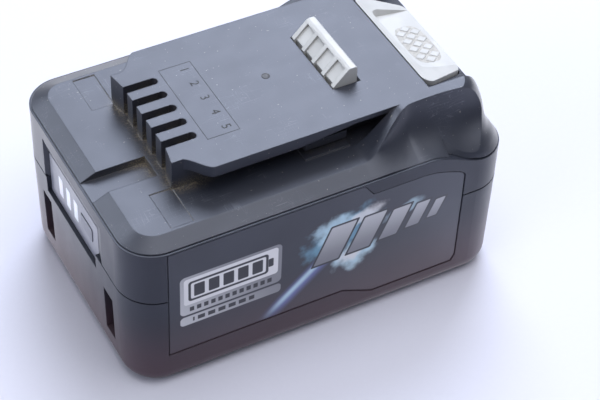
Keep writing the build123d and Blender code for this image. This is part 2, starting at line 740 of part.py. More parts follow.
with BuildPart() as release_latch:
    # tooth with its sloping front
    with BuildSketch(Plane.XZ.offset(-tooth_half)):
        with BuildLine():
            Polyline((tooth_x, bridge_bottom), (tooth_x, top_z + 0.2),
                     (tooth_x + tooth_length - tooth_crest, top_z + tooth_height - 0.3),
                     (tooth_x + tooth_length - tooth_crest + 0.8, top_z + tooth_height),
                     (tooth_x + tooth_length - 0.5, top_z + tooth_height),
                     (tooth_x + tooth_length, top_z + tooth_height - 0.5),
                     (tooth_x + tooth_length, bridge_bottom), close=True)
        make_face()
    extrude(amount=2 * tooth_half)
    # recessed panels between the ribs of the sloping front
    panel_width = (2 * tooth_half - rib_count * rib_width) / (rib_count - 1)
    slope_top_x = tooth_x + tooth_length - tooth_crest
    with BuildSketch(Plane.XZ.offset(-panel_width / 2)):
        with BuildLine():
            Polyline((tooth_x - 1, bridge_top + 0.6), (tooth_x + 0.9, bridge_top + 0.6),
                     (tooth_x + 0.9, top_z + 0.2),
                     (slope_top_x + 0.1, top_z + tooth_height - 1.3),
                     (slope_top_x - 0.9, top_z + tooth_height),
                     (tooth_x - 1, top_z + tooth_height), close=True)
        make_face()
    panel_step = panel_width + rib_width
    panel = extrude(amount=panel_width, mode=Mode.PRIVATE)
    for i in range(rib_count - 1):
        add(panel.moved(Location((0, (i - (rib_count - 2) / 2) * panel_step, 0))), mode=Mode.SUBTRACT)
    # bridge under the skin, wider below the tooth where it meets the skin as a stop
    add(box_between(tooth_x - 1.6, tooth_x + tooth_length + 2.2, -tooth_half - 1.6, tooth_half + 1.6,
                    bridge_bottom, bridge_top))
    add(box_between(tooth_x, paddle_front + 2, -bridge_half, bridge_half, bridge_bottom, bridge_top))
    # paddle
    add(paddle_block(0, paddle_bottom, top_z + 2))
    add(slope_slab(paddle_front_half + 2, 20, 0), mode=Mode.SUBTRACT)
    # dish, deepest behind the front rim and running out at the rear edge
    with BuildSketch(dish_plane):
        with Locations((dish_reach / 2, 0)):
            RectangleRounded(dish_reach, 2 * dish_half, 2.0)
    extrude(amount=dish_depth + 2, taper=-24, mode=Mode.SUBTRACT)
    # hollow below the paddle and a pocket over each spring
    add(paddle_block(-2.2, paddle_bottom - 1, paddle_bottom + 1.8), mode=Mode.SUBTRACT)
    for side in (-1, 1):
        add(post(spring_x, side * spring_half_spacing, spring_radius + 0.5, paddle_bottom - 1, spring_seat),
            mode=Mode.SUBTRACT)
release_latch.part.label = "release_latch"
export_step(release_latch.part, "parts/release_latch.step")
print("release_latch", len(release_latch.part.solids()), round(release_latch.part.volume))

# Tray that closes the latch space from below and carries the springs
tray_front = paddle_front - 7
tray_rear = paddle_rear - 1.5
spigot_height = 2.0
with BuildPart() as latch_tray:
    with BuildSketch(Plane.XY.offset(tray_top - tray_thickness)):
        with Locations(((tray_front + tray_rear) / 2, 0)):
            Rectangle(tray_rear - tray_front, tray_width)
    extrude(amount=tray_thickness)
    with BuildSketch(Plane.XY.offset(tray_top)):
        with Locations((spring_x, spring_half_spacing), (spring_x, -spring_half_spacing)):
            Circle(spring_radius - spring_wire - 0.3)
    extrude(amount=spigot_height)
    for x, y in tray_posts:
        for side in (-1, 1):
            add(post(x, side * y, small_screw_radius + 0.1, tray_top - tray_thickness, tray_top),
                mode=Mode.SUBTRACT)
latch_tray.part.label = "latch_tray"
export_step(latch_tray.part, "parts/latch_tray.step")

with BuildPart() as tray_screws:
    for x, y in tray_posts:
        for side in (-1, 1):
            tray_low = tray_top - tray_thickness
            add(rod(x, side * y, small_screw_radius, tray_low, tray_top + tray_screw_reach))
            add(rod(x, side * y, small_screw_head, tray_low - 1.6, tray_low))
tray_screws.part.label = "tray_screws"
export_step(tray_screws.part, "parts/tray_screws.step")

# Latch springs, one tube each, with closed end turns lying on their seats
spring_length = spring_seat - tray_top
spring_mean = spring_radius - spring_wire / 2
for name, side in (("latch_spring_near", -1), ("latch_spring_far", 1)):
    with BuildPart() as spring:
        with BuildLine():
            Helix(pitch=(spring_length - spring_wire) / spring_turns,
                  height=spring_length - spring_wire, radius=spring_mean,
                  center=(spring_x, side * spring_half_spacing, tray_top + spring_wire / 2))
        with BuildSketch(Plane(origin=(spring_x + spring_mean, side * spring_half_spacing,
                                       tray_top + spring_wire / 2), x_dir=(1, 0, 0), z_dir=(0, 1, 0))):
            RegularPolygon(spring_wire / 2, 4)
        sweep()
    spring.part.label = name
    export_step(spring.part, "parts/" + name + ".step")
    print(name, len(spring.part.solids()), round(spring.part.volume, 2), spring.part.bounding_box())

# Long screws that clamp the case from below, one in each corner
with BuildPart() as case_screws:
    with BuildSketch(Plane.XY.offset(head_depth - 2.4)):
        with GridLocations(2 * boss_x, 2 * boss_y, 2, 2):
            Circle(case_screw_head)
    extrude(amount=2.4)
    with BuildSketch(Plane.XY.offset(head_depth)):
        with GridLocations(2 * boss_x, 2 * boss_y, 2, 2):
            RegularPolygon(case_screw_radius, 8)
    extrude(amount=rear_seam_z - 2 - head_depth)
    with BuildSketch(Plane.XY.offset(head_depth - 2.4)):
        with GridLocations(2 * boss_x, 2 * boss_y, 2, 2):
            RegularPolygon(1.2, 6)
    extrude(amount=1.3, mode=Mode.SUBTRACT)
case_screws.part.label = "case_screws"
export_step(case_screws.part, "parts/case_screws.step")

# Charge gauge: panel, light bars, push button, small board, lamps and switch
panel_face = front_x + gauge_depth
panel_back = panel_face + gauge_plate
panel_y = (gauge_near + gauge_far) / 2
panel_z = (gauge_bottom + gauge_top) / 2
panel_width = gauge_far - gauge_near
panel_height = gauge_top - gauge_bottom
light_ys = [light_far_y - i * light_pitch for i in range(light_count)]
light_middle = light_bottom + light_height / 2
push_y = (push_near + push_far) / 2
push_z = push_bottom + push_height / 2
push_width = push_far - push_near


def gauge_rect(y, z, width, height, x, depth, radius=0.0):
    """Block on the panel, rounded where it shows, growing inwards from x."""
    with BuildPart() as block:
        with BuildSketch(Plane.YZ.offset(x)):
            with Locations((y, z)):
                if radius:
                    RectangleRounded(width, height, radius)
                else:
                    Rectangle(width, height)
        extrude(amount=depth)
    return block.part


with BuildPart() as gauge_panel:
    add(gauge_rect(panel_y, panel_z, panel_width - 2 * clearance, panel_height - 2 * clearance,
                   panel_face, gauge_plate, 0.6))
    for y in light_ys:
        add(gauge_rect(y, light_middle, light_width, light_height, panel_face - 1, gauge_plate + 2, 0.5),
            mode=Mode.SUBTRACT)
    add(gauge_rect(push_y, push_z, push_width, push_height, panel_face - 1, gauge_plate + 2, 1.0),
        mode=Mode.SUBTRACT)
gauge_panel.part.label = "gauge_panel"
export_step(gauge_panel.part, "parts/gauge_panel.step")

# The clear bars are a press fit in the panel and end just short of the lamps
lamp_height = 0.8
with BuildPart() as light_bars:
    for y in light_ys:
        add(gauge_rect(y, light_middle, light_width - 0.1, light_height - 0.1, panel_face,
                       gauge_plate + gauge_room - lamp_height - clearance, 0.45))
light_bars.part.label = "light_bars"
export_step(light_bars.part, "parts/light_bars.step")

# The button is held in by a flange behind the panel
push_fit = 0.25
push_proud = 0.2
push_flange = 0.6
flange_back = panel_back + 0.05 + push_flange
with BuildPart() as gauge_button:
    add(gauge_rect(push_y, push_z, push_width - 2 * push_fit, push_height - 2 * push_fit,
                   panel_face - push_proud, gauge_plate + push_proud + 0.1, 0.8))
    add(gauge_rect(push_y, push_z, push_width + 1.2, push_height + 1.2, panel_back + 0.05, push_flange))
gauge_button.part.label = "gauge_button"
export_step(gauge_button.part, "parts/gauge_button.step")

with BuildPart() as gauge_board:
    add(gauge_rect(panel_y, panel_z, panel_width + 2, panel_height - 0.6, seat_back, gauge_board_thickness))
gauge_board.part.label = "gauge_board"
export_step(gauge_board.part, "parts/gauge_board.step")

with BuildPart() as gauge_lamps:
    for y in light_ys:
        add(gauge_rect(y, light_middle, 1.6, 3.2, seat_back - lamp_height, lamp_height))
gauge_lamps.part.label = "gauge_lamps"
export_step(gauge_lamps.part, "parts/gauge_lamps.step")

# The switch's stem stands just behind the pressed button
switch_tip = flange_back + push_travel + 0.1
with BuildPart() as gauge_switch:
    add(gauge_rect(push_y, push_z, 4.2, 3.4, seat_back - 0.4, 0.4))
    with BuildSketch(Plane.YZ.offset(switch_tip)):
        with Locations((push_y, push_z)):
            RegularPolygon(0.9, 8)
    extrude(amount=seat_back - switch_tip)
gauge_switch.part.label = "gauge_switch"
export_step(gauge_switch.part, "parts/gauge_switch.step")
print("gauge", round(flange_back, 2), round(switch_tip, 2), round(seat_back, 2))

# Cells lie across the pack in two rows
cell_xs = [first_cell_x + i * cell_pitch for i in range(cell_columns)]
row_zs = [first_row_z + j * cell_pitch for j in range(cell_rows)]
cell_count = 0
for z in row_zs:
    for x in cell_xs:
        cell_count += 1
        with BuildPart() as cell:
            with BuildSketch(Plane.XZ.offset(-cell_length / 2)):
                with Locations((x, z)):
                    Circle(cell_radius)
            extrude(amount=cell_length)
        cell.part.label = "cell_" + str(cell_count)
        export_step(cell.part, "parts/" + cell.part.label + ".step")

# Holders grip both ends of the cells and carry the control board on posts
gap_xs = [x + cell_pitch / 2 for x in cell_xs[:-1]]
screw_post_xs = (gap_xs[0], gap_xs[-2])
rest_post_xs = (gap_xs[-1],)
board_half = cell_length / 2 - clearance
post_y = board_half - 4.2
post_half_x = 2.2
post_half_y = 2.4
frame_width = frame_rear - frame_front
frame_height = frame_top - frame_bottom
frame_x = (frame_front + frame_rear) / 2
frame_z = (frame_bottom + frame_top) / 2
for name, side in (("cell_frame_near", -1), ("cell_frame_far", 1)):
    with BuildPart() as frame:
        with BuildSketch(Plane.XZ.offset(-side * cell_length / 2)):
            with Locations((frame_x, frame_z)):
                Rectangle(frame_width, frame_height)
            with Locations([(x, z) for x in cell_xs for z in row_zs]):
                Circle(cell_radius + cell_fit, mode=Mode.SUBTRACT)
        extrude(amount=side * frame_depth)
        for x in screw_post_xs + rest_post_xs:
            add(box_between(x - post_half_x, x + post_half_x, side * post_y - post_half_y,
                            side * post_y + post_half_y, frame_top - 0.3, board_bottom))
        for x in screw_post_xs:
            add(post(x, side * post_y, small_screw_radius + thread_fit, frame_top - 0.9, board_bottom + 1),
                mode=Mode.SUBTRACT)
    frame.part.label = name
    export_step(frame.part, "parts/" + name + ".step")
    print(name, len(frame.part.solids()))

# Nickel links join the cells of each row into a string of five
near_pairs = [(0, 1), (2, 3)]
far_pairs = [(1, 2), (3, 4)]
tab_reach = 5.0
tab_half = 2.1
near_tab_x = gap_xs[-1] - 8.0
far_tab_x = cell_xs[0] - 3.9
link_face = cell_length / 2 + strip_thickness
half_strip = strip_width / 2
run_bottom = frame_top - 1.1
run_top = frame_top + 1.9


def side_plate(side, x0, x1, z0, z1):
    """Piece of strip that lies on the cell ends of one side."""
    ys = sorted((side * cell_length / 2, side * link_face))
    return box_between(x0, x1, ys[0], ys[1], z0, z1)


for name, side, pairs, end, tab_x in (
        ("cell_links_near", -1, near_pairs, cell_xs[-1], near_tab_x),
        ("cell_links_far", 1, far_pairs, cell_xs[0], far_tab_x)):
    tab_ys = sorted((side * link_face, side * (link_face - tab_reach)))
    with BuildPart() as links:
        with BuildSketch(Plane.XZ.offset(-side * link_face)):
            for z in row_zs:
                for first, second in pairs:
                    with Locations(((cell_xs[first] + cell_xs[second]) / 2, z)):
                        Rectangle(cell_pitch + strip_width, strip_width)
            with Locations((end, row_zs[0])):
                Rectangle(strip_width, strip_width)
        extrude(amount=side * strip_thickness)
        # the upper string's end strip climbs to the board and folds over its edge
        add(side_plate(side, end - half_strip, end + half_strip, row_zs[-1] - half_strip, run_top))
        add(side_plate(side, tab_x - tab_half, end + half_strip, run_bottom, run_top))
        add(side_plate(side, tab_x - tab_half, tab_x + tab_half, run_bottom, board_top + strip_thickness))
        add(box_between(tab_x - tab_half, tab_x + tab_half, tab_ys[0], tab_ys[1],
                        board_top, board_top + strip_thickness))
    links.part.label = name
    export_step(links.part, "parts/" + name + ".step")
    print(name, len(links.part.solids()))

# Insulating sheets over the links, each with a slot for the lead of the lower string
lead_radius = 1.0
for name, side, end in (("insulator_near", -1, cell_xs[-1]), ("insulator_far", 1, cell_xs[0])):
    with BuildPart() as sheet:
        with BuildSketch(Plane.XZ.offset(-side * link_face)):
            with Locations((frame_x, frame_z)):
                Rectangle(frame_width - 1, frame_height - 1)
            with Locations((end, frame_z + 3)):
                Rectangle(2 * lead_radius + 0.6, frame_height, mode=Mode.SUBTRACT)
        extrude(amount=-side * sheet_thickness)
    sheet.part.label = name
    export_step(sheet.part, "parts/" + name + ".step")
    print(name, len(sheet.part.solids()))

# Foam pad between the floor and the cells
pad_top_z = first_row_z - cell_radius - 0.1
with BuildPart() as floor_pad:
    with BuildSketch(Plane.XY.offset(floor_thickness)):
        with Locations((frame_x, 0)):
            Rectangle(frame_width - 6, cell_length - 2 * frame_depth - 4)
    extrude(amount=pad_top_z - floor_thickness)
floor_pad.part.label = "floor_pad"
export_step(floor_pad.part, "parts/floor_pad.step")

# Control board on the holders' posts
board_front = frame_front + 4
board_rear = tray_front - 1.2
with BuildPart() as circuit_board:
    with BuildSketch(Plane.XY.offset(board_bottom)):
        with Locations(((board_front + board_rear) / 2, 0)):
            Rectangle(board_rear - board_front, 2 * board_half)
        with Locations([(x, side * post_y) for x in screw_post_xs for side in (-1, 1)]):
            Circle(small_screw_radius + 0.1, mode=Mode.SUBTRACT)
    extrude(amount=board_thickness)
circuit_board.part.label = "circuit_board"
export_step(circuit_board.part, "parts/circuit_board.step")

with BuildPart() as board_screws:
    for x in screw_post_xs:
        for side in (-1, 1):
            add(rod(x, side * post_y, small_screw_radius, frame_top - 0.5, board_top))
            add(rod(x, side * post_y, small_screw_head, board_top, board_top + 1.5))
board_screws.part.label = "board_screws"
export_step(board_screws.part, "parts/board_screws.step")

# Terminal block behind the slots, with one fork contact in each channel
block_front = teeth_x + 2.6
block_length = 20.0
block_half = neck_half - wall - clearance
block_top = skin_z - clearance
channel_width = slot_width + 0.4
contact_front = block_front + 2.5
contact_bottom = board_top + 4.5
pin_x = contact_front + contact_length - 3
with BuildPart() as terminal_block:
    with BuildSketch(Plane.XY.offset(board_top)):
        with Locations((block_front + block_length / 2, 0)):
            Rectangle(block_length, 2 * block_half)
    extrude(amount=block_top - board_top)
    with BuildSketch(Plane.XY.offset(contact_bottom)):
        with Locations((block_front + block_length / 2 - 2, 0)):
            with GridLocations(slot_pitch, slot_pitch, 1, slot_count):
                Rectangle(block_length - 2, channel_width)
    extrude(amount=block_top - contact_bottom + 1, mode=Mode.SUBTRACT)
    with BuildSketch(Plane.XY.offset(board_top)):
        with Locations((pin_x, 0)):
            with GridLocations(slot_pitch, slot_pitch, 1, slot_count):
                Rectangle(3.0, 1.6)
    extrude(amount=contact_bottom - board_top + 1, mode=Mode.SUBTRACT)
terminal_block.part.label = "terminal_block"
export_step(terminal_block.part, "parts/terminal_block.step")
print("terminal_block", len(terminal_block.part.solids()))

contact_height = block_top - contact_bottom - 1.2
leaf_offset = (contact_gap + contact_leaf) / 2
mouth_flare = 0.55
for i in range(slot_count):
    y = (i - (slot_count - 1) / 2) * slot_pitch
    with BuildPart() as contact:
        # two leaves that spring apart at the mouth
        for side in (-1, 1):
            outer = leaf_offset + contact_leaf / 2
            inner = leaf_offset - contact_leaf / 2
            with BuildSketch(Plane.XY.offset(contact_bottom)):
                with BuildLine():
                    Polyline((contact_front, y + side * (outer + mouth_flare)),
                             (contact_front + 2.4, y + side * outer),
                             (contact_front + contact_length, y + side * outer),
                             (contact_front + contact_length, y + side * inner),
                             (contact_front + 2.2, y + side * inner),
                             (contact_front, y + side * (inner + mouth_flare)), close=True)
                make_face()
            extrude(amount=contact_height)
        add(box_between(contact_front + contact_length - 4.2, contact_front + contact_length,
                        y - leaf_offset, y + leaf_offset, contact_bottom, contact_bottom + 1.2))
        add(box_between(pin_x - 1.2, pin_x + 1.2, y - 0.6, y + 0.6, board_top, contact_bottom + 0.5))
    contact.part.label = "contact_" + str(i + 1)
    export_step(contact.part, "parts/" + contact.part.label + ".step")
    print(contact.part.label, len(contact.part.solids()))


def bent_path(points, bend):
    """Straight runs through the points with tangent arcs at the corners."""
    corners = [Vector(*point) for point in points]
    start = corners[0]
    for before, corner, after in zip(corners, corners[1:], corners[2:]):
        arriving = (corner - before).normalized()
        leaving = (after - corner).normalized()
        centre = corner - arriving * bend + leaving * bend
        middle = centre + (arriving - leaving) * (bend / math.sqrt(2))
        Line(start, corner - arriving * bend)
        ThreePointArc(corner - arriving * bend, middle, corner + leaving * bend)
        start = corner + leaving * bend
    Line(start, corners[-1])


# Leads of the lower string: each rises in the side room and bends in to a clamp on the board
lead_y = link_face + lead_radius + 0.05
near_bend = 4.0
far_bend = 3.0
near_lead_z = board_top + lead_radius + 0.1
far_lead_z = board_top + lead_radius + 0.6
clamp_length = 5.0
clamp_width = 4.4
clamp_height = 3.4
solder_half = 1.2
near_run_y = lead_y - 2 * near_bend - 0.15
near_clamp_end = board_rear - 1.2
far_clamp_end = board_half - 5.7
near_route = [(cell_xs[-1], -lead_y, row_zs[0] - 3), (cell_xs[-1], -lead_y, near_lead_z),
              (cell_xs[-1], -near_run_y, near_lead_z), (near_clamp_end, -near_run_y, near_lead_z)]
far_route = [(cell_xs[0], lead_y, row_zs[0] - 3), (cell_xs[0], lead_y, far_lead_z),
             (cell_xs[0], far_clamp_end, far_lead_z)]
for name, side, route, bend in (
        ("lead_near", -1, near_route, near_bend), ("lead_far", 1, far_route, far_bend)):
    foot = route[0]
    with BuildPart() as lead:
        with BuildLine():
            bent_path(route, bend)
        with BuildSketch(Plane.XY.offset(foot[2])):
            with Locations((foot[0], foot[1])):
                RegularPolygon(lead_radius, 8)
        sweep()
        # solder on the end strip of the lower string
        solder_ys = sorted((side * link_face, side * (lead_y + 0.4)))
        add(box_between(foot[0] - solder_half, foot[0] + solder_half, solder_ys[0], solder_ys[1],
                        foot[2] - 1, foot[2] + 3))
    lead.part.label = name
    export_step(lead.part, "parts/" + name + ".step")
    print(name, len(lead.part.solids()), round(lead.part.volume, 1))

# Flat cable from the gauge board to the control board
cable_y = 4.0
cable_width = 8.0
cable_thickness = 0.3
cable_x = frame_front - 1.4
cable_z = board_top + 1.0
socket_front = board_front + 1.5
cable_route = [(seat_back + gauge_board_thickness, cable_y, panel_z + 1), (cable_x, cable_y, panel_z + 1),
               (cable_x, cable_y, cable_z), (socket_front, cable_y, cable_z)]
with BuildPart() as gauge_cable:
    with BuildLine():
        bent_path(cable_route, 2.4)
    with BuildSketch(Plane.YZ.offset(seat_back + gauge_board_thickness)):
        with Locations((cable_y, panel_z + 1)):
            Rectangle(cable_width, cable_thickness)
    sweep()
gauge_cable.part.label = "gauge_cable"
export_step(gauge_cable.part, "parts/gauge_cable.step")
print("gauge_cable", len(gauge_cable.part.solids()), round(gauge_cable.part.volume, 1))

# Parts soldered to the board: power switches, a controller, capacitors, lead clamps, cable socket
switch_y = post_y - small_screw_head - 5.0
switch_rows = [(x, side * switch_y) for x in (-8, 0.5, 9) for side in (-1, 1)]
board_mid = (block_front + block_length + tray_front) / 2
with BuildPart() as board_parts:
    with BuildSketch(Plane.XY.offset(board_top)):
        with Locations(switch_rows):
            Rectangle(6.5, 6.0)
    extrude(amount=1.4)
    with BuildSketch(Plane.XY.offset(board_top)):
        with Locations((board_mid, 4)):
            Rectangle(7, 7)
    extrude(amount=1.1)
    with BuildSketch(Plane.XY.offset(board_top)):
        with Locations((board_mid - 8, -10), (board_mid, -10), (board_mid + 8, -10)):
            RegularPolygon(1.6, 8)
    extrude(amount=2.8)
    with BuildSketch(Plane.XY.offset(board_top)):
        with Locations((near_clamp_end - clamp_length / 2, -near_run_y)):
            Rectangle(clamp_length, clamp_width)
        with Locations((cell_xs[0], far_clamp_end - clamp_length / 2)):
            Rectangle(clamp_width, clamp_length)
    extrude(amount=clamp_height)
    with BuildSketch(Plane.XY.offset(board_top)):
        with Locations((socket_front + 1.6, cable_y)):
            Rectangle(3.2, cable_width + 2)
    extrude(amount=2.0)
board_parts.part.label = "board_parts"
export_step(board_parts.part, "parts/board_parts.step")

# Temperature sensor: a bead lying on a cell, held by its two wires under the board
bead_x = cell_xs[2]
bead_bottom = row_zs[-1] + cell_radius + 0.1
with BuildPart() as temperature_sensor:
    with BuildSketch(Plane.XY.offset(bead_bottom)):
        with Locations((bead_x, 0)):
            RegularPolygon(1.7, 8)
    extrude(amount=1.3)
    with BuildSketch(Plane.XY.offset(bead_bottom + 0.6)):
        with Locations((bead_x - 0.9, 0), (bead_x + 0.9, 0)):
            RegularPolygon(0.35, 4)
    extrude(amount=board_bottom - bead_bottom - 0.6)
temperature_sensor.part.label = "temperature_sensor"
export_step(temperature_sensor.part, "parts/temperature_sensor.step")

# Printed label in the pad on the near side, laid over the lower parting line
label_gap = 0.4
label_inset = pad_depth - label_thickness
label_zone = pad_prism(-1, label_gap, half_width - 3, half_width + 1)
with BuildPart() as side_label:
    label_low = tub_block(label_inset, 3, lower_case_height).cut(tub_block(pad_depth, 2, lower_case_height))
    add(label_low.intersect(label_zone))
    add(plan_block(label_inset, lower_case_height, deck_z).cut(
        plan_block(pad_depth, lower_case_height - 1, deck_z + 1)).intersect(label_zone))
side_label.part.label = "side_label"
export_step(side_label.part, "parts/side_label.step")
print("side_label", len(side_label.part.solids()), round(side_label.part.volume, 1))
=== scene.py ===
# %% [markdown]
# # A slide-on battery pack, dressed for its picture
# The solids of the pack come in finished: case, cover, latch, gauge, cells and board are real
# pieces at their real size. This lesson gives each of them its finish, adds the fine pieces that
# lie on them (printed numbers, the grip of the thumb button, a moulding mark), and lights the
# whole like the photograph. Lengths are in metres. X runs along the pack from the terminals to
# the release button, Y across it, and Z is up.

# %% Load the solids and keep their box
import bpy
import bmesh
import json
import math
from mathutils import Matrix, Vector


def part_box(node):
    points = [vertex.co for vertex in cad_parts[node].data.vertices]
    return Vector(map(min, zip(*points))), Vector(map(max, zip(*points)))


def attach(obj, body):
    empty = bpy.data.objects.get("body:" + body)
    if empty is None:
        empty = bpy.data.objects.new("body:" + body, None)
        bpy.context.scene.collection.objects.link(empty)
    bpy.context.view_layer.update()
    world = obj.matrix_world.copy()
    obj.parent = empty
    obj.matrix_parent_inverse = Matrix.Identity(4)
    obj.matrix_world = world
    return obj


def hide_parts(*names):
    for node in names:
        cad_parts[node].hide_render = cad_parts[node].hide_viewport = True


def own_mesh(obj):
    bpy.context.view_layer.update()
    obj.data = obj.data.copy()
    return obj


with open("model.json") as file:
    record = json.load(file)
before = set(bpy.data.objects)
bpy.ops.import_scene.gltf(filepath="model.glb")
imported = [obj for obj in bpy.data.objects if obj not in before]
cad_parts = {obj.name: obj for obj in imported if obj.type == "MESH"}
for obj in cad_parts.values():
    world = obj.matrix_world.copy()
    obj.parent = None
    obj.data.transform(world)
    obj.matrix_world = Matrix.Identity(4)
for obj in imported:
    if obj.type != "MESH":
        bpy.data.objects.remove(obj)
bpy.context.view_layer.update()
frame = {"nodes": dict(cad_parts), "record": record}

mm = 0.001
nodes = frame["nodes"]

# %% [markdown]
# ## The camera
# The photograph looks down on the labelled side from the terminal end, with a long lens. The
# viewing angles were measured from the case's straight edges: the camera is turned 30 degrees
# round the pack, looks down at 44 degrees and is tilted a little. A camera could be aimed by a
# constraint, but a fixed matrix is simpler to read: its columns are the picture's right, its up
# and the way back to the photographer.

# %% Put the camera where the photograph was taken
turn = math.radians(-29.8)
down = math.radians(44.38)
tilt = math.radians(2.44)
photo_width = 600
focal_pixels = 1875.67
sensor_width = 36.0
frame_shift = 27.8 * mm
spot_right = 36.17
spot_up = 20.93
distance = 570.01

level_right = Vector((math.cos(turn), math.sin(turn), 0))
towards_camera = Vector((math.sin(turn) * math.cos(down), -math.cos(turn) * math.cos(down),
                         math.sin(down)))
level_up = towards_camera.cross(level_right)
picture_right = level_right * math.cos(tilt) + level_up * math.sin(tilt)
picture_up = level_up * math.cos(tilt) - level_right * math.sin(tilt)
camera_spot = (picture_right * spot_right + picture_up * spot_up + towards_camera * distance) * mm
camera_spot.x -= frame_shift

camera_data = bpy.data.cameras.new("photo_camera")
camera_data.sensor_width = sensor_width
camera_data.lens = focal_pixels / photo_width * sensor_width
camera_data.clip_start = 0.01
camera = bpy.data.objects.new("photo_camera", camera_data)
bpy.context.scene.collection.objects.link(camera)
camera.matrix_world = Matrix((
    (picture_right.x, picture_up.x, towards_camera.x, camera_spot.x),
    (picture_right.y, picture_up.y, towards_camera.y, camera_spot.y),
    (picture_right.z, picture_up.z, towards_camera.z, camera_spot.z),
    (0, 0, 0, 1)))
bpy.context.scene.camera = camera
print("lens", round(camera_data.lens, 1), "mm, camera at", [round(v, 3) for v in camera_spot])

# %% [markdown]
# ## Daylight
# The pack stands on a white sheet in cool daylight. Dark satin plastic shows its shape mostly by
# what it mirrors, so the main lamp is a large disk placed where the upper surfaces mirror it into
# the camera: behind the pack, as steep as the camera in front. A ceiling lamp lights the sheet
# and draws the short shadow. A weak lamp fills the terminal end, and a side window is seen in
# the plastic only, since it lights nothing that is matt. Small strong lamps would be simpler,
# but they would draw hard white spots.

# %% Hang four soft lamps
scene = bpy.context.scene
scene.view_settings.view_transform = "Standard"
pack_middle = Vector((0, 0, 0.03))


def add_soft_lamp(name, spot, width, watts, colour):
    """A round lamp at spot that faces the pack."""
    data = bpy.data.lights.new(name, "AREA")
    data.shape = "DISK"
    data.size = width
    data.energy = watts
    data.color = colour
    lamp = bpy.data.objects.new(name, data)
    lamp.location = spot
    lamp.rotation_euler = (pack_middle - Vector(spot)).to_track_quat("-Z", "Y").to_euler()
    scene.collection.objects.link(lamp)
    return lamp


add_soft_lamp("window_light", (0.50, 0.80, 0.95), 0.95, 17.6, (0.80, 0.865, 1.0))
add_soft_lamp("ceiling_light", (0.15, -0.20, 1.25), 1.4, 13.4, (0.96, 0.97, 1.0))
add_soft_lamp("room_fill", (-1.0, -0.25, 0.45), 0.8, 4.0, (0.85, 0.90, 1.0))
side_window = add_soft_lamp("side_window", (-0.85, 0.85, 0.80), 0.9, 13.0, (0.86, 0.92, 1.0))
side_window.visible_diffuse = False

# %% [markdown]
# The room round the pack has two brightnesses. The pack is lit by a dim one, so that its shadows
# stay dark, and the camera sees a bright one, because the sheet in the photograph runs on into a
# pale background. The Light Path node picks between them by the kind of ray. A sky picture could
# light the scene instead, but it would need a file, and its brightness would be the same for both.

# %% Wrap a pale room round the scene
world = bpy.data.worlds.new("pale_sky")
scene.world = world
world.use_nodes = True
world_nodes = world.node_tree.nodes
room_glow = world_nodes["Background"]
room_glow.inputs["Color"].default_value = (0.80, 0.86, 1.0, 1)
room_glow.inputs["Strength"].default_value = 0.15
backdrop = world_nodes.new("ShaderNodeBackground")
backdrop.inputs["Color"].default_value = (0.90, 0.93, 1.0, 1)
backdrop.inputs["Strength"].default_value = 0.85
which_ray = world_nodes.new("ShaderNodeLightPath")
choice = world_nodes.new("ShaderNodeMixShader")
join = world.node_tree.links.new
join(which_ray.outputs["Is Camera Ray"], choice.inputs[0])
join(room_glow.outputs[0], choice.inputs[1])
join(backdrop.outputs[0], choice.inputs[2])
join(choice.outputs[0], world_nodes["World Output"].inputs["Surface"])
print("room:", len(world_nodes), "nodes")

# %% [markdown]
# ## A kit for finishes
# Every finish below is a small graph of nodes: it starts from the place on the object, makes
# patterns from that place, and blends colours and roughness by them. A picture texture would be
# quicker to paint, but it needs a file and an unwrapped surface. The first helpers start a
# finish, add a node to it, and plug a value or another node's output into a socket.

# %% Helpers that start a finish and join its nodes
def start_paint(name):
    paint = bpy.data.materials.new(name)
    paint.use_nodes = True
    return paint


def shader_of(paint):
    return paint.node_tree.nodes["Principled BSDF"]


def add_node(paint, kind, **settings):
    node = paint.node_tree.nodes.new("ShaderNode" + kind)
    for key, value in settings.items():
        setattr(node, key, value)
    return node


def plug(paint, source, socket):
    """Link a node's output to a socket, or write a plain value there."""
    if isinstance(source, bpy.types.NodeSocket):
        paint.node_tree.links.new(source, socket)
    elif isinstance(source, (int, float)):
        socket.default_value = source
    elif len(source) < len(socket.default_value):
        socket.default_value = (*source, 1)
    else:
        socket.default_value = source


print("node helpers ready")

# %% [markdown]
# A mask is worked out with plain sums, one Math node for each step. With a short name for each
# kind of sum, a finish reads like a formula and not like a wiring plan.

# %% Helpers that calculate
def sums(paint, operation, first, second=0.0):
    node = add_node(paint, "Math", operation=operation)
    plug(paint, first, node.inputs[0])
    plug(paint, second, node.inputs[1])
    return node.outputs[0]


def plus(paint, first, second):
    return sums(paint, "ADD", first, second)


def minus(paint, first, second):
    return sums(paint, "SUBTRACT", first, second)


def times(paint, first, second):
    """Product of two values. For two masks it is the place that both cover."""
    return sums(paint, "MULTIPLY", first, second)


def size_of(paint, value):
    return sums(paint, "ABSOLUTE", value)


def fade(paint, value, start, end):
    """Smooth step of a value: 0 at start, 1 at end."""
    node = add_node(paint, "MapRange", interpolation_type="SMOOTHSTEP")
    plug(paint, value, node.inputs["Value"])
    plug(paint, start, node.inputs["From Min"])
    plug(paint, end, node.inputs["From Max"])
    return node.outputs["Result"]


print("arithmetic ready")

# %% [markdown]
# Patterns start from the place on the object in metres, so their sizes are real sizes. A place
# can be stretched before the noise reads it, which draws the pattern out along one direction.

# %% Helpers for places, patterns and colours
def place_on_object(paint):
    return add_node(paint, "TexCoord").outputs["Object"]


def stretch(paint, spot, factors):
    node = add_node(paint, "VectorMath", operation="MULTIPLY")
    plug(paint, spot, node.inputs[0])
    node.inputs[1].default_value = factors
    return node.outputs[0]


def split(paint, spot):
    """The three coordinates of a place."""
    node = add_node(paint, "SeparateXYZ")
    plug(paint, spot, node.inputs[0])
    return node.outputs


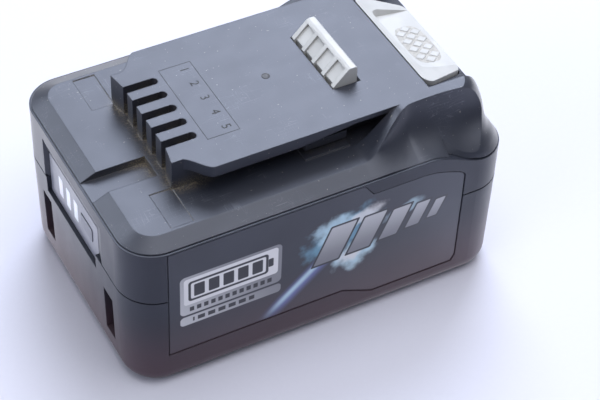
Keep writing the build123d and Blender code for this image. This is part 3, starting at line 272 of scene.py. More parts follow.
def lanes(paint, spot):
    """The three coordinates of a place, in millimetres."""
    return [times(paint, lane, 1 / mm) for lane in split(paint, spot)]


def speckle(paint, spot, size, detail=2.0):
    """Noise whose features are about size across, 0 to 1."""
    node = add_node(paint, "TexNoise")
    plug(paint, spot, node.inputs["Vector"])
    node.inputs["Scale"].default_value = 1 / size
    node.inputs["Detail"].default_value = detail
    return node.outputs["Fac"]


def blend(paint, share, first, second):
    node = add_node(paint, "Mix", data_type="RGBA")
    plug(paint, share, node.inputs[0])
    plug(paint, first, node.inputs[6])
    plug(paint, second, node.inputs[7])
    return node.outputs[2]


print("places, patterns and colours ready")

# %% [markdown]
# ## The floor
# A matt white sheet, pale lavender where the light falls off. The overexposed photograph mirrors
# it in the pack much brighter than a plain sheet would, above all from behind the pack. More
# light would bleach everything, so the sheet has a glow that only mirrored rays see, and that
# grows towards the back. Far from the pack the camera sees a second glow, which hides where the
# sheet ends. The pack's shadow stays, because the sheet itself still receives it.

# %% Lay the sheet
sheet_half = 3.0
sheet_drop = 0.2 * mm
sheet_corners = [(-sheet_half, -sheet_half, 0), (sheet_half, -sheet_half, 0),
                 (sheet_half, sheet_half, 0), (-sheet_half, sheet_half, 0)]
floor_mesh = bpy.data.meshes.new("white_sheet")
floor_mesh.from_pydata(sheet_corners, [], [(0, 1, 2, 3)])
floor = bpy.data.objects.new("white_sheet", floor_mesh)
scene.collection.objects.link(floor)
floor.location.z = -sheet_drop

mirrored_glow = 2.3
distant_glow = 0.7
glow_slant = 0.45
sheet_paint = start_paint("white_sheet")
sheet_shader = shader_of(sheet_paint)
sheet_spot = place_on_object(sheet_paint)
sheet_x, sheet_y, _ = split(sheet_paint, sheet_spot)
fibres = speckle(sheet_paint, sheet_spot, 1.5 * mm)
plug(sheet_paint, blend(sheet_paint, fibres, (0.70, 0.70, 0.80), (0.72, 0.72, 0.82)),
     sheet_shader.inputs["Base Color"])
sheet_shader.inputs["Roughness"].default_value = 0.7

back_place = plus(sheet_paint, times(sheet_paint, sheet_x, glow_slant), sheet_y)
behind = fade(sheet_paint, back_place, -0.08, 0.10)
plug(sheet_paint, blend(sheet_paint, behind, (0.90, 0.91, 1.0), (1.0, 1.0, 1.0)),
     sheet_shader.inputs["Emission Color"])
away = add_node(sheet_paint, "VectorMath", operation="LENGTH")
plug(sheet_paint, sheet_spot, away.inputs[0])
distant = fade(sheet_paint, away.outputs["Value"], 0.40, 1.6)
ray = add_node(sheet_paint, "LightPath")
mirrored = sums(sheet_paint, "MAXIMUM", ray.outputs["Is Glossy Ray"], ray.outputs["Is Transmission Ray"])
seen_in_mirrors = times(sheet_paint, mirrored, times(sheet_paint, behind, mirrored_glow))
seen_far_off = times(sheet_paint, ray.outputs["Is Camera Ray"], times(sheet_paint, distant, distant_glow))
plug(sheet_paint, plus(sheet_paint, seen_in_mirrors, seen_far_off),
     sheet_shader.inputs["Emission Strength"])
floor.data.materials.append(sheet_paint)
print("floor", floor.name, "half width", sheet_half, "m")

# %% [markdown]
# ## Moulded plastic, worn at its edges
# The case parts are black glass-filled plastic from a spark-eroded mould. Close up such a surface
# is a fine orange peel, its edges are never sharp, and use polishes them. The Bevel node rounds
# the shading of every edge by a third of a millimetre or so, and the difference between that
# rounded direction and the true one marks the edges for wear. Real bevels on each mesh would do
# the same with far more faces.

# %% Soften the edges and find their wear
def soft_edges(paint, radius):
    """Shading direction with every edge rounded by radius."""
    node = add_node(paint, "Bevel", samples=4)
    node.inputs["Radius"].default_value = radius
    return node.outputs["Normal"]


def edge_share(paint, rounded):
    """1 at an edge, 0 on a flat face: how far the rounded normal leans from the true one."""
    true_normal = add_node(paint, "NewGeometry").outputs["Normal"]
    node = add_node(paint, "VectorMath", operation="DOT_PRODUCT")
    plug(paint, rounded, node.inputs[0])
    plug(paint, true_normal, node.inputs[1])
    return fade(paint, node.outputs["Value"], 0.995, 0.80)


print("edges ready")

# %% [markdown]
# The grain is a bump of two noises, a fine one and a broad one under it. It is far too small to
# be worth any faces. Hands leave slow smears on top of it, which only change how smooth it is.

# %% Grain and smears
def add_grain(paint, spot, rounded, size, height):
    """Orange peel: fine grains of size, with broader ones five times as wide under them."""
    fine = speckle(paint, spot, size, 3.0)
    broad = speckle(paint, spot, size * 5, 1.0)
    bump = add_node(paint, "Bump")
    bump.inputs["Strength"].default_value = 0.6
    bump.inputs["Distance"].default_value = height
    plug(paint, plus(paint, fine, times(paint, broad, 0.8)), bump.inputs["Height"])
    plug(paint, rounded, bump.inputs["Normal"])
    plug(paint, bump.outputs["Normal"], shader_of(paint).inputs["Normal"])


def vary_roughness(paint, spot, low, high):
    """Slow smears, a little smoother and rougher, as hands leave them."""
    smear = speckle(paint, stretch(paint, spot, (1, 1.6, 0.7)), 9 * mm, 3.0)
    node = add_node(paint, "MapRange")
    plug(paint, smear, node.inputs["Value"])
    node.inputs["From Min"].default_value = 0.3
    node.inputs["From Max"].default_value = 0.7
    node.inputs["To Min"].default_value = low
    node.inputs["To Max"].default_value = high
    plug(paint, node.outputs["Result"], shader_of(paint).inputs["Roughness"])


print("grain and smears ready")

# %% [markdown]
# ## Black case plastic
# Lower case and band are near black with a cool tone. Towards the foot a painted warm reflection
# is blended in by height. A plain colour would look like a toy, so a slow noise makes patches a
# little lighter and darker.

# %% Mix the case plastic
cool_black = (0.017, 0.019, 0.029)
cool_black_light = (0.023, 0.026, 0.038)
warm_reflection_tint = (0.075, 0.039, 0.048)
worn_edge = (0.13, 0.135, 0.16)
cool_gloss = (0.86, 0.89, 1.0)
plastic_ior = 1.52


def case_colour(paint, spot):
    patches = fade(paint, speckle(paint, spot, 22 * mm, 4.0), 0.35, 0.65)
    height = lanes(paint, spot)[2]
    # Painted warm reflection: a warm tint that grows towards the foot.
    foot = times(paint, fade(paint, height, 32, 4), 0.8)
    return blend(paint, foot, blend(paint, patches, cool_black, cool_black_light), warm_reflection_tint)


def cool_shine(paint, level):
    """Strength of the mirrored light, with the plastic's cool tint."""
    shader_of(paint).inputs["Specular IOR Level"].default_value = level
    shader_of(paint).inputs["Specular Tint"].default_value = (*cool_gloss, 1)


case_paint = start_paint("case_plastic")
case_spot = place_on_object(case_paint)
case_round = soft_edges(case_paint, 0.35 * mm)
wear = times(case_paint, edge_share(case_paint, case_round),
            fade(case_paint, speckle(case_paint, case_spot, 3 * mm, 4.0), 0.35, 0.7))
case_black = case_colour(case_paint, case_spot)
plug(case_paint, blend(case_paint, times(case_paint, wear, 0.35), case_black, worn_edge),
     shader_of(case_paint).inputs["Base Color"])
vary_roughness(case_paint, case_spot, 0.42, 0.48)
add_grain(case_paint, case_spot, case_round, 0.30 * mm, 0.020 * mm)
shader_of(case_paint).inputs["IOR"].default_value = plastic_ior
cool_shine(case_paint, 0.48)
print("case plastic:", len(case_paint.node_tree.nodes), "nodes")

# %% [markdown]
# ## The cover: dust, grime and hair scratches
# The cover is the same plastic, but it is the part that hands and tools touch. Brown dust packs
# into the corners of the slots, the channel and the grooves, pale specks lie on the deck, and
# tools leave fine scratches. A scratch is the thin contour line of a noise stretched along one
# direction: drawing each as a mesh would be slow, and the line is far thinner than any face.

# %% Draw the hair scratches
def hair_scratches(paint, spot, factors, share):
    """Thin lines where a stretched noise passes its middle value, in some places only."""
    field = speckle(paint, stretch(paint, spot, factors), 1.0, 1.0)
    line = fade(paint, size_of(paint, minus(paint, field, 0.5)), 0.010, 0.002)
    where = fade(paint, speckle(paint, spot, 11 * mm, 2.0), 0.52, 0.66)
    return times(paint, times(paint, line, where), share)


cover_paint = start_paint("cover_plastic")
cover_spot = place_on_object(cover_paint)
scratch = sums(cover_paint, "MAXIMUM", hair_scratches(cover_paint, cover_spot, (60, 900, 700), 0.5),
               hair_scratches(cover_paint, cover_spot, (700, 90, 500), 0.35))
print("scratches:", len(cover_paint.node_tree.nodes), "nodes")

# %% [markdown]
# Dust lies thickest low down between the terminal slots, where no finger reaches, and thinly in
# every other corner. The Ambient Occlusion node finds inner corners on any shape, where painting
# them by hand would have to be done again after every change. A fine noise breaks the dust up
# into grit, and the pale specks on the deck are the rare peaks of another noise.

# %% Find where dust and specks lie
slot_middle_x = -38


def crevice(paint, reach, low, high):
    """Share of dirt in inner corners: where the surroundings within reach close in."""
    node = add_node(paint, "AmbientOcclusion", samples=8, only_local=True)
    node.inputs["Distance"].default_value = reach
    return fade(paint, node.outputs["AO"], high, low)


along, _, height = lanes(cover_paint, cover_spot)
corners = crevice(cover_paint, 6 * mm, 0.30, 0.90)
grit = fade(cover_paint, speckle(cover_paint, cover_spot, 0.45 * mm, 3.0), 0.42, 0.62)
slot_zone = fade(cover_paint, size_of(cover_paint, minus(cover_paint, along, slot_middle_x)), 13, 4)
low_zone = fade(cover_paint, height, 63, 57)
in_slots = times(cover_paint, slot_zone, low_zone)
dusty = times(cover_paint, corners, plus(cover_paint, 0.2, times(cover_paint, in_slots, 1.3)))
dusty = times(cover_paint, dusty, plus(cover_paint, times(cover_paint, grit, 0.8), 0.2))
dots = fade(cover_paint, speckle(cover_paint, cover_spot, 0.9 * mm, 1.0), 0.75, 0.78)
specks = times(cover_paint, dots, 0.45)
print("dust and specks:", len(cover_paint.node_tree.nodes), "nodes so far")

# %% [markdown]
# The layers go on in the order in which they came to the real cover: rubbed edges and scratches
# in the plastic first, then dust and specks on top of them. Dust that was blended in first would
# be scratched too, which it never is.

# %% Lay the layers on the cover plastic
dust_brown = (0.20, 0.165, 0.115)
speck_pale = (0.33, 0.31, 0.27)

cover_round = soft_edges(cover_paint, 0.4 * mm)
rubbed = times(cover_paint, edge_share(cover_paint, cover_round),
              fade(cover_paint, speckle(cover_paint, cover_spot, 4 * mm, 4.0), 0.38, 0.7))
colour = case_colour(cover_paint, cover_spot)
colour = blend(cover_paint, times(cover_paint, rubbed, 0.25), colour, worn_edge)
colour = blend(cover_paint, scratch, colour, worn_edge)
colour = blend(cover_paint, dusty, colour, dust_brown)
colour = blend(cover_paint, specks, colour, speck_pale)
plug(cover_paint, colour, shader_of(cover_paint).inputs["Base Color"])
vary_roughness(cover_paint, cover_spot, 0.43, 0.46)
add_grain(cover_paint, cover_spot, cover_round, 0.30 * mm, 0.022 * mm)
shader_of(cover_paint).inputs["IOR"].default_value = plastic_ior
cool_shine(cover_paint, 0.76)
print("cover plastic:", len(cover_paint.node_tree.nodes), "nodes")

# %% [markdown]
# ## Pale latch plastic
# Tooth and thumb button are one light grey moulding with a warm cast. It is matt, and a tan grime
# sits in its inner corners and in the valleys of its grip. The same crevice trick finds them.

# %% Mix the latch plastic
latch_grey = (0.51, 0.51, 0.505)
latch_grey_light = (0.56, 0.56, 0.555)
latch_grime = (0.30, 0.265, 0.20)


def pale_plastic(name, grime_reach, grime_share):
    """Light grey plastic with grime in the inner corners that grime_reach spans."""
    paint = start_paint(name)
    spot = place_on_object(paint)
    rounded = soft_edges(paint, 0.22 * mm)
    patches = fade(paint, speckle(paint, spot, 7 * mm, 3.0), 0.35, 0.65)
    grime = times(paint, crevice(paint, grime_reach, 0.30, 0.80),
                 plus(paint, 0.35, times(paint, speckle(paint, spot, 0.8 * mm, 3.0), 0.65)))
    colour = blend(paint, patches, latch_grey, latch_grey_light)
    colour = blend(paint, times(paint, grime, grime_share), colour, latch_grime)
    plug(paint, colour, shader_of(paint).inputs["Base Color"])
    shader_of(paint).inputs["Specular IOR Level"].default_value = 0.7
    vary_roughness(paint, spot, 0.42, 0.55)
    add_grain(paint, spot, rounded, 0.28 * mm, 0.015 * mm)
    return paint


latch_paint = pale_plastic("latch_plastic", 2.5 * mm, 0.55)
grip_paint = pale_plastic("grip_plastic", 0.8 * mm, 0.8)
print("latch plastic ready")

# %% [markdown]
# ## The label print
# A thin satin film lies in a shallow pad on the long side. On it are a silver plate with the
# pictogram of a charged battery, a violet streak, and slanted silver bars over pale-blue clouds.
# Print has no thickness to model, so it is drawn in the finish: a rounded patch is the distance
# from its outline, turned into a mask. All places on the label are in millimetres, along the
# pack and up.

# %% Helpers that print patches
def printed_patch(paint, across, up, centre, half, corner, blur=0.12):
    """Mask of a rounded rectangle with half sizes half."""
    beyond = []
    for lane, middle, reach in ((across, centre[0], half[0]), (up, centre[1], half[1])):
        off = size_of(paint, minus(paint, lane, middle))
        beyond.append(sums(paint, "MAXIMUM", minus(paint, off, reach - corner), 0))
    dx, dz = beyond
    away = sums(paint, "SQRT", plus(paint, times(paint, dx, dx), times(paint, dz, dz)))
    return fade(paint, away, corner + blur, corner - blur)


def printed_dashes(paint, along, pitch, ink):
    """Stripes across a line: ink is the printed share of each pitch."""
    share = sums(paint, "FRACT", sums(paint, "DIVIDE", along, pitch))
    place = size_of(paint, minus(paint, share, 0.5))
    return fade(paint, place, ink / 2 + 0.04, ink / 2 - 0.04)


print("print helpers ready")

# %% [markdown]
# The plate is printed from the bottom layer up: silver, a white window, the black outline of the
# battery with its tip, and five bars of charge. Two rows of dashes lie below, as on a scale.

# %% Print the rating plate
silver = (0.24, 0.24, 0.26)
silver_painted_highlight = (0.58, 0.58, 0.60)
plate_white = (0.80, 0.79, 0.80)
print_black = (0.016, 0.016, 0.020)
plate_x = -30.75
lower_plate_z = 24.1
battery_x = -31.6
battery_z = 35.8
charge_bars = 5
charge_start = -40.6
charge_pitch = 4.5

label_paint = start_paint("label_film")
label_spot = place_on_object(label_paint)
lx, _, lz = lanes(label_paint, label_spot)
# The film starts from the case colour, with its painted warm reflection towards the foot.
film = case_colour(label_paint, label_spot)


def add_ink(film, mask, ink):
    return blend(label_paint, mask, film, ink)


def add_patch(film, centre, half, corner, ink):
    return add_ink(film, printed_patch(label_paint, lx, lz, centre, half, corner), ink)


# Painted sheen: the silver plate is lighter towards the terminal end and the foot, darker towards the
# rear top.
plate_painted_sheen = fade(label_paint, plus(label_paint, lx, times(label_paint, lz, 0.8)), -30, 8)
plate_silver = blend(label_paint, plate_painted_sheen, silver_painted_highlight, silver)
film = add_patch(film, (plate_x, 34.3), (15.75, 7.7), 1.6, plate_silver)
film = add_patch(film, (plate_x, lower_plate_z), (15.75, 1.75), 1.2, plate_silver)
film = add_patch(film, (plate_x, battery_z), (14.6, 5.2), 1.0, plate_white)
film = add_patch(film, (battery_x, battery_z), (12.4, 3.9), 1.0, print_black)
film = add_patch(film, (battery_x, battery_z), (11.6, 3.1), 0.6, plate_white)
film = add_patch(film, (-18.4, battery_z), (0.8, 1.6), 0.4, print_black)
for step in range(charge_bars):
    bar_x = charge_start + charge_pitch * step
    film = add_patch(film, (bar_x, battery_z), (1.65, 2.4), 0.4, print_black)
for centre, half, pitch, ink_share in (
        ((-31.0, 28.6), (13.2, 0.85), 2.2, 0.62),
        ((-33.0, lower_plate_z), (9.6, 0.8), 3.2, 0.70)):
    row = printed_patch(label_paint, lx, lz, centre, half, 0.1)
    dashes = printed_dashes(label_paint, lx, pitch, ink_share)
    film = add_ink(film, times(label_paint, row, dashes), print_black)
print("rating plate printed")

# %% [markdown]
# Between the plate and the bars a violet streak rises with a pale core. It is soft, unlike the
# plate: turned coordinates run along and across it, and their size fades into a mask. A gradient
# texture could be turned in the same way, but it would not fade at both ends.

# %% Print the streak
cloud_pale = (0.56, 0.76, 0.86)
streak_violet = (0.17, 0.20, 0.46)
streak_lean = 42


def turned_lanes(paint, across, up, centre, degrees):
    """Coordinates along and across a line through centre that climbs at an angle."""
    lean = math.radians(degrees)
    rx = minus(paint, across, centre[0])
    rz = minus(paint, up, centre[1])
    along = plus(paint, times(paint, rx, math.cos(lean)), times(paint, rz, math.sin(lean)))
    off = minus(paint, times(paint, rz, math.cos(lean)), times(paint, rx, math.sin(lean)))
    return along, off


def soft_streak(paint, across, up, foot, width, start, end):
    """Streak through foot that fades in over 12 mm from start and out over 14 mm to end."""
    along, off = turned_lanes(paint, across, up, foot, streak_lean)
    side = fade(paint, size_of(paint, off), width, 0)
    ends = times(paint, fade(paint, along, start, start + 12), fade(paint, along, end, end - 14))
    return times(paint, side, ends)


streak = soft_streak(label_paint, lx, lz, (-9, 22), 3.6, -17, 24)
streak_core = soft_streak(label_paint, lx, lz, (-9.5, 22.3), 1.7, -16, 24)
film = add_ink(film, times(label_paint, streak, 0.95), streak_violet)
film = add_ink(film, times(label_paint, streak_core, 0.85), cloud_pale)
print("streak printed at", streak_lean, "degrees")

# %% [markdown]
# The clouds are six soft ovals in three inks, laid over each other. Plain ovals would look
# airbrushed, so a slow noise makes their borders ragged.

# %% Print the clouds
cloud_blue = (0.16, 0.36, 0.50)
border_noise = speckle(label_paint, label_spot, 5 * mm, 3.0)
ragged = times(label_paint, minus(label_paint, border_noise, 0.5), 2.2)


def soft_spot(paint, across, up, centre, half, degrees, ragged):
    """Oval cloud with half sizes half, tilted by an angle."""
    along, off = turned_lanes(paint, across, up, centre, degrees)
    u = times(paint, along, 1 / half[0])
    v = times(paint, off, 1 / half[1])
    away = plus(paint, times(paint, u, u), times(paint, v, v))
    return fade(paint, plus(paint, away, ragged), 1.0, 0.0)


clouds = [
    ((4, 37), (15, 8.5), 20, 0.85, cloud_blue),
    ((2, 40), (9, 5.5), 15, 0.80, cloud_pale),
    ((12, 41.5), (8, 3.0), 20, 0.80, plate_white),
    ((9, 27), (8, 6.5), 30, 0.90, cloud_pale),
    ((8, 27.5), (5, 3.6), 30, 0.90, plate_white),
    ((24, 38), (9, 2.5), 14, 0.55, cloud_pale),
]
for centre, half, degrees, share, ink in clouds:
    cloud = soft_spot(label_paint, lx, lz, centre, half, degrees, ragged)
    film = add_ink(film, times(label_paint, cloud, share), ink)
print("clouds:", len(clouds))

# %% [markdown]
# The silver bars share one slant and get shorter towards the release button. A dark outline
# keeps them apart from the pale clouds behind them. Each is an upright patch in coordinates that
# lean, so that its top and foot stay level, which a turned patch's wouldn't. The film itself is
# smoother than the plastic round it.

# %% Print the slanted bars and finish the film
bar_silver_dark = (0.20, 0.20, 0.22)
bar_lean = 0.42
bar_row_z = 34
bar_outline = 0.7

climbed = minus(label_paint, lz, bar_row_z)
leaning = minus(label_paint, lx, times(label_paint, climbed, bar_lean))
# Painted sheen: the silver bars are darker low down and lighter towards their tops.
bar_painted_sheen = fade(label_paint, lz, 27, 44)
bar_silver = blend(label_paint, bar_painted_sheen, bar_silver_dark, silver_painted_highlight)
bars = [(2.2, 4.0, 6.6), (12.6, 3.6, 6.2), (21.8, 2.9, 5.2), (29.4, 2.2, 4.2), (35.6, 1.6, 3.2)]
for middle, half_wide, half_high in bars:
    centre = (middle, bar_row_z)
    outline = printed_patch(label_paint, leaning, lz, centre,
                            (half_wide + bar_outline, half_high + bar_outline), 0.5)
    bar = printed_patch(label_paint, leaning, lz, centre, (half_wide, half_high), 0.4)
    film = add_ink(film, outline, print_black)
    film = add_ink(film, bar, bar_silver)
plug(label_paint, film, shader_of(label_paint).inputs["Base Color"])
vary_roughness(label_paint, label_spot, 0.30, 0.38)
cool_shine(label_paint, 0.75)
add_grain(label_paint, label_spot, soft_edges(label_paint, 0.10 * mm), 0.8 * mm, 0.006 * mm)
print("label:", len(label_paint.node_tree.nodes), "nodes")

# %% [markdown]
# ## The charge gauge
# On the terminal end sits a satin grey panel with three milky light bars and a push button. The
# panel is smoother than the case, so it mirrors more of the room. The bars let light into
# themselves: subsurface scattering gives that soft milk, a plain white would look painted on.

# %% Mix panel, bars and button
def satin_paint(name, dark, light, patch, roughness, grain, edge):
    """Two close tones in patches, a range of roughness, and a grain of a size and a height."""
    paint = start_paint(name)
    spot = place_on_object(paint)
    rounded = soft_edges(paint, edge)
    patches = fade(paint, speckle(paint, spot, patch, 3.0), 0.35, 0.65)
    plug(paint, blend(paint, patches, dark, light), shader_of(paint).inputs["Base Color"])
    vary_roughness(paint, spot, *roughness)
    add_grain(paint, spot, rounded, *grain)
    return paint


panel_paint = satin_paint("panel_film", (0.19, 0.195, 0.24), (0.22, 0.225, 0.27), 6 * mm,
                          (0.36, 0.44), (0.25 * mm, 0.008 * mm), 0.15 * mm)
button_paint = satin_paint("button_rubber", (0.15, 0.157, 0.195), (0.18, 0.187, 0.225), 4 * mm,
                           (0.42, 0.5), (0.2 * mm, 0.01 * mm), 0.25 * mm)
light_paint = satin_paint("light_plastic", (0.78, 0.79, 0.84), (0.84, 0.85, 0.90), 3 * mm,
                          (0.20, 0.28), (0.4 * mm, 0.003 * mm), 0.15 * mm)
shader_of(light_paint).inputs["Subsurface Weight"].default_value = 0.35
shader_of(light_paint).inputs["Subsurface Scale"].default_value = 0.6 * mm
for gauge_paint in (panel_paint, button_paint):
    shader_of(gauge_paint).inputs["Specular IOR Level"].default_value = 0.6
print("gauge finishes ready")

# %% [markdown]
# ## Inside: sleeves, nylon, foam and paper
# The lid of a lesson model gets opened, so the inside is finished too. The cells wear a blue
# shrink sleeve and show bare steel at their ends. One finish covers both, told apart by the place
# along the cell: a second material on each cell's end faces would do it too, with ten meshes to
# edit.

# %% Mix the cells' sleeve
sleeve_blue = (0.03, 0.13, 0.33)
sleeve_blue_light = (0.04, 0.17, 0.40)
end_steel = (0.60, 0.60, 0.58)

cell_paint = start_paint("cell_wrap")
cell_spot = place_on_object(cell_paint)
from_middle = size_of(cell_paint, lanes(cell_paint, cell_spot)[1])
cell_end = fade(cell_paint, from_middle, 32.2, 32.5)
creases = speckle(cell_paint, stretch(cell_paint, cell_spot, (1, 0.2, 1)), 4 * mm, 2.0)
sleeve = blend(cell_paint, fade(cell_paint, creases, 0.3, 0.7), sleeve_blue, sleeve_blue_light)
plug(cell_paint, blend(cell_paint, cell_end, sleeve, end_steel),
     shader_of(cell_paint).inputs["Base Color"])
plug(cell_paint, cell_end, shader_of(cell_paint).inputs["Metallic"])
vary_roughness(cell_paint, cell_spot, 0.22, 0.36)
add_grain(cell_paint, cell_spot, soft_edges(cell_paint, 0.5 * mm), 1.6 * mm, 0.02 * mm)
print("sleeve:", len(cell_paint.node_tree.nodes), "nodes")

# %% [markdown]
# The other inner finishes share the recipe of the gauge with numbers of their own: cloudy
# natural nylon for the holders, coarse matt foam, fibrous paper, and smooth resin and leads.

# %% Mix nylon, foam, paper, resin and leads
nylon_paint = satin_paint("holder_plastic", (0.66, 0.66, 0.61), (0.74, 0.74, 0.70), 9 * mm,
                          (0.45, 0.6), (0.3 * mm, 0.02 * mm), 0.3 * mm)
foam_paint = satin_paint("foam", (0.035, 0.035, 0.037), (0.07, 0.07, 0.072), 1.2 * mm,
                         (0.85, 0.95), (0.5 * mm, 0.12 * mm), 0.3 * mm)
paper_paint = satin_paint("insulating_paper", (0.55, 0.47, 0.31), (0.63, 0.56, 0.40), 1.0 * mm,
                          (0.75, 0.9), (0.25 * mm, 0.02 * mm), 0.05 * mm)
resin_paint = satin_paint("component_resin", (0.020, 0.020, 0.023), (0.034, 0.034, 0.037), 2 * mm,
                          (0.35, 0.5), (0.15 * mm, 0.008 * mm), 0.1 * mm)
lamp_paint = satin_paint("lamp_resin", (0.70, 0.72, 0.60), (0.78, 0.80, 0.70), 1 * mm,
                         (0.12, 0.2), (0.3 * mm, 0.002 * mm), 0.1 * mm)
red_paint = satin_paint("lead_red", (0.42, 0.02, 0.015), (0.52, 0.035, 0.03), 3 * mm,
                        (0.38, 0.5), (0.3 * mm, 0.01 * mm), 0.3 * mm)
black_paint = satin_paint("lead_black", (0.014, 0.014, 0.015), (0.028, 0.028, 0.03), 3 * mm,
                          (0.38, 0.5), (0.3 * mm, 0.01 * mm), 0.3 * mm)
film_paint = satin_paint("cable_film", (0.46, 0.27, 0.07), (0.55, 0.35, 0.12), 2 * mm,
                         (0.25, 0.35), (0.4 * mm, 0.004 * mm), 0.05 * mm)
print("nylon, foam, paper, resin and leads ready")

# %% [markdown]
# ## Brushed metals
# Nickel strips, contacts and screws show drawing or brushing marks. Those are noise that is
# stretched along one direction: the smallest of the three factors is the way the strokes run.
# The springs' wire turns every way, so its grain is even. The same strokes tint the metal and
# drive its bump. The shader's anisotropic setting could draw the sheen out too, but it wants a
# tangent, which these meshes don't carry.

# %% Mix the metals
def brushed_metal(name, dark, light, factors, roughness):
    paint = start_paint(name)
    spot = place_on_object(paint)
    strokes = speckle(paint, stretch(paint, spot, factors), 1.0, 3.0)
    plug(paint, blend(paint, fade(paint, strokes, 0.3, 0.7), dark, light),
         shader_of(paint).inputs["Base Color"])
    shader_of(paint).inputs["Metallic"].default_value = 1.0
    vary_roughness(paint, spot, *roughness)
    bump = add_node(paint, "Bump")
    bump.inputs["Strength"].default_value = 0.3
    bump.inputs["Distance"].default_value = 0.01 * mm
    plug(paint, strokes, bump.inputs["Height"])
    plug(paint, soft_edges(paint, 0.12 * mm), bump.inputs["Normal"])
    plug(paint, bump.outputs["Normal"], shader_of(paint).inputs["Normal"])
    return paint


nickel_paint = brushed_metal("nickel", (0.50, 0.48, 0.44), (0.64, 0.62, 0.57),
                             (150, 900, 2600), (0.28, 0.42))
contact_paint = brushed_metal("contact_metal", (0.55, 0.40, 0.20), (0.72, 0.56, 0.32),
                              (300, 2600, 2600), (0.2, 0.35))
screw_paint = brushed_metal("screw_steel", (0.10, 0.10, 0.11), (0.19, 0.19, 0.20),
                            (2200, 2200, 300), (0.32, 0.45))
spring_paint = brushed_metal("spring_steel", (0.40, 0.40, 0.41), (0.54, 0.54, 0.55),
                             (1800, 1800, 1800), (0.25, 0.38))
print("metals ready")

# %% [markdown]
# ## The board's lacquer
# Green lacquer lies over copper tracks. The tracks are the mortar lines of a brick pattern, which
# gives a grid of offset runs without drawing one by hand.

# %% Mix the lacquer
lacquer_green = (0.012, 0.09, 0.035)
lacquer_green_light = (0.016, 0.12, 0.05)
track_green = (0.05, 0.24, 0.09)

board_paint = start_paint("board_laminate")
board_spot = place_on_object(board_paint)
tracks = add_node(board_paint, "TexBrick")
plug(board_paint, board_spot, tracks.inputs["Vector"])
tracks.inputs["Scale"].default_value = 90
tracks.inputs["Mortar Size"].default_value = 0.03
tracks.inputs["Mortar Smooth"].default_value = 0.2
clouding = fade(board_paint, speckle(board_paint, board_spot, 6 * mm, 2.0), 0.3, 0.7)
lacquer = blend(board_paint, clouding, lacquer_green, lacquer_green_light)
on_track = times(board_paint, tracks.outputs["Fac"], 0.6)
plug(board_paint, blend(board_paint, on_track, lacquer, track_green),
     shader_of(board_paint).inputs["Base Color"])
vary_roughness(board_paint, board_spot, 0.22, 0.34)
add_grain(board_paint, board_spot, soft_edges(board_paint, 0.1 * mm), 0.5 * mm, 0.006 * mm)
print("board ready")

# %% [markdown]
# ## Give every solid its finish
# The record names a material slot for each solid. Two solids of one slot can still want their
# own finish: the cover is the case's plastic, but it carries the dust and the scratches.

# %% Dress the solids
finish_of_slot = {
    "case_plastic": case_paint, "latch_plastic": latch_paint, "label_film": label_paint,
    "panel_film": panel_paint, "light_plastic": light_paint, "button_rubber": button_paint,
    "cell_wrap": cell_paint, "holder_plastic": nylon_paint, "nickel": nickel_paint,
    "insulating_paper": paper_paint, "foam": foam_paint, "board_laminate": board_paint,
    "component_resin": resin_paint, "lamp_resin": lamp_paint, "contact_metal": contact_paint,
    "screw_steel": screw_paint, "spring_steel": spring_paint, "lead_red": red_paint,
    "lead_black": black_paint, "cable_film": film_paint,
}
finish_of_node = {"top_cover": cover_paint}
for entry in frame["record"]["subparts"]:
    solid = nodes[entry["node"]]
    finish = finish_of_node.get(entry["node"], finish_of_slot[entry["material_slot"]])
    solid.data.materials.clear()
    solid.data.materials.append(finish)

# %% [markdown]
# ## Fine pieces and how they are kept
# The pieces below are thin, so they are made here and not in the solids. All but the numbers are
# rings of points joined by faces, and their faces are turned outwards at the end. Every piece is
# given its finish and told which body it moves with, or it would be left behind
# in a pose.

# %% Helpers that close and keep a mesh
def join_rings(shape, here, there):
    """Faces between two rings with the same number of points."""
    count = len(here)
    for k in range(count):
        after = (k + 1) % count
        shape.faces.new((here[k], here[after], there[after], there[k]))


def close_mesh(shape, name, smooth=False):
    bmesh.ops.recalc_face_normals(shape, faces=shape.faces)
    mesh = bpy.data.meshes.new(name)
    shape.to_mesh(mesh)
    shape.free()
    mesh.polygons.foreach_set("use_smooth", [smooth] * len(mesh.polygons))
    return mesh


def keep_mesh(name, mesh, finish, body):
    piece = bpy.data.objects.new(name, mesh)
    scene.collection.objects.link(piece)
    piece.data.materials.clear()
    piece.data.materials.append(finish)
    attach(piece, body)
    return piece


print("mesh helpers ready")

# %% [markdown]
# ## Numbers beside the terminal slots
# Behind the five slots a thin frame holds one plain number for each. A text curve is turned into
# a mesh with a hair of thickness, so that it needs no unwrapping and sits on the plastic like a
# pad print.

# %% Print the slot numbers
platform_z = 66.0 * mm
ink_height = 0.03 * mm
slot_count = 5
number_pitch = 6.7 * mm
number_size = 3.9 * mm
number_row_x = -20.6 * mm


def number_mesh(text, size, spot):
    """A number that reads across the pack, its top towards the release button."""
    curve = bpy.data.curves.new("number", "FONT")
    curve.body = text
    curve.size = size
    curve.align_x = "CENTER"
    curve.extrude = ink_height / 2
    curve.resolution_u = 3
    holder = bpy.data.objects.new("number", curve)
    mesh = bpy.data.meshes.new_from_object(holder)
    bpy.data.objects.remove(holder)
    mesh.transform(Matrix.Translation(spot) @ Matrix.Rotation(math.radians(-90), 4, "Z"))
    return mesh


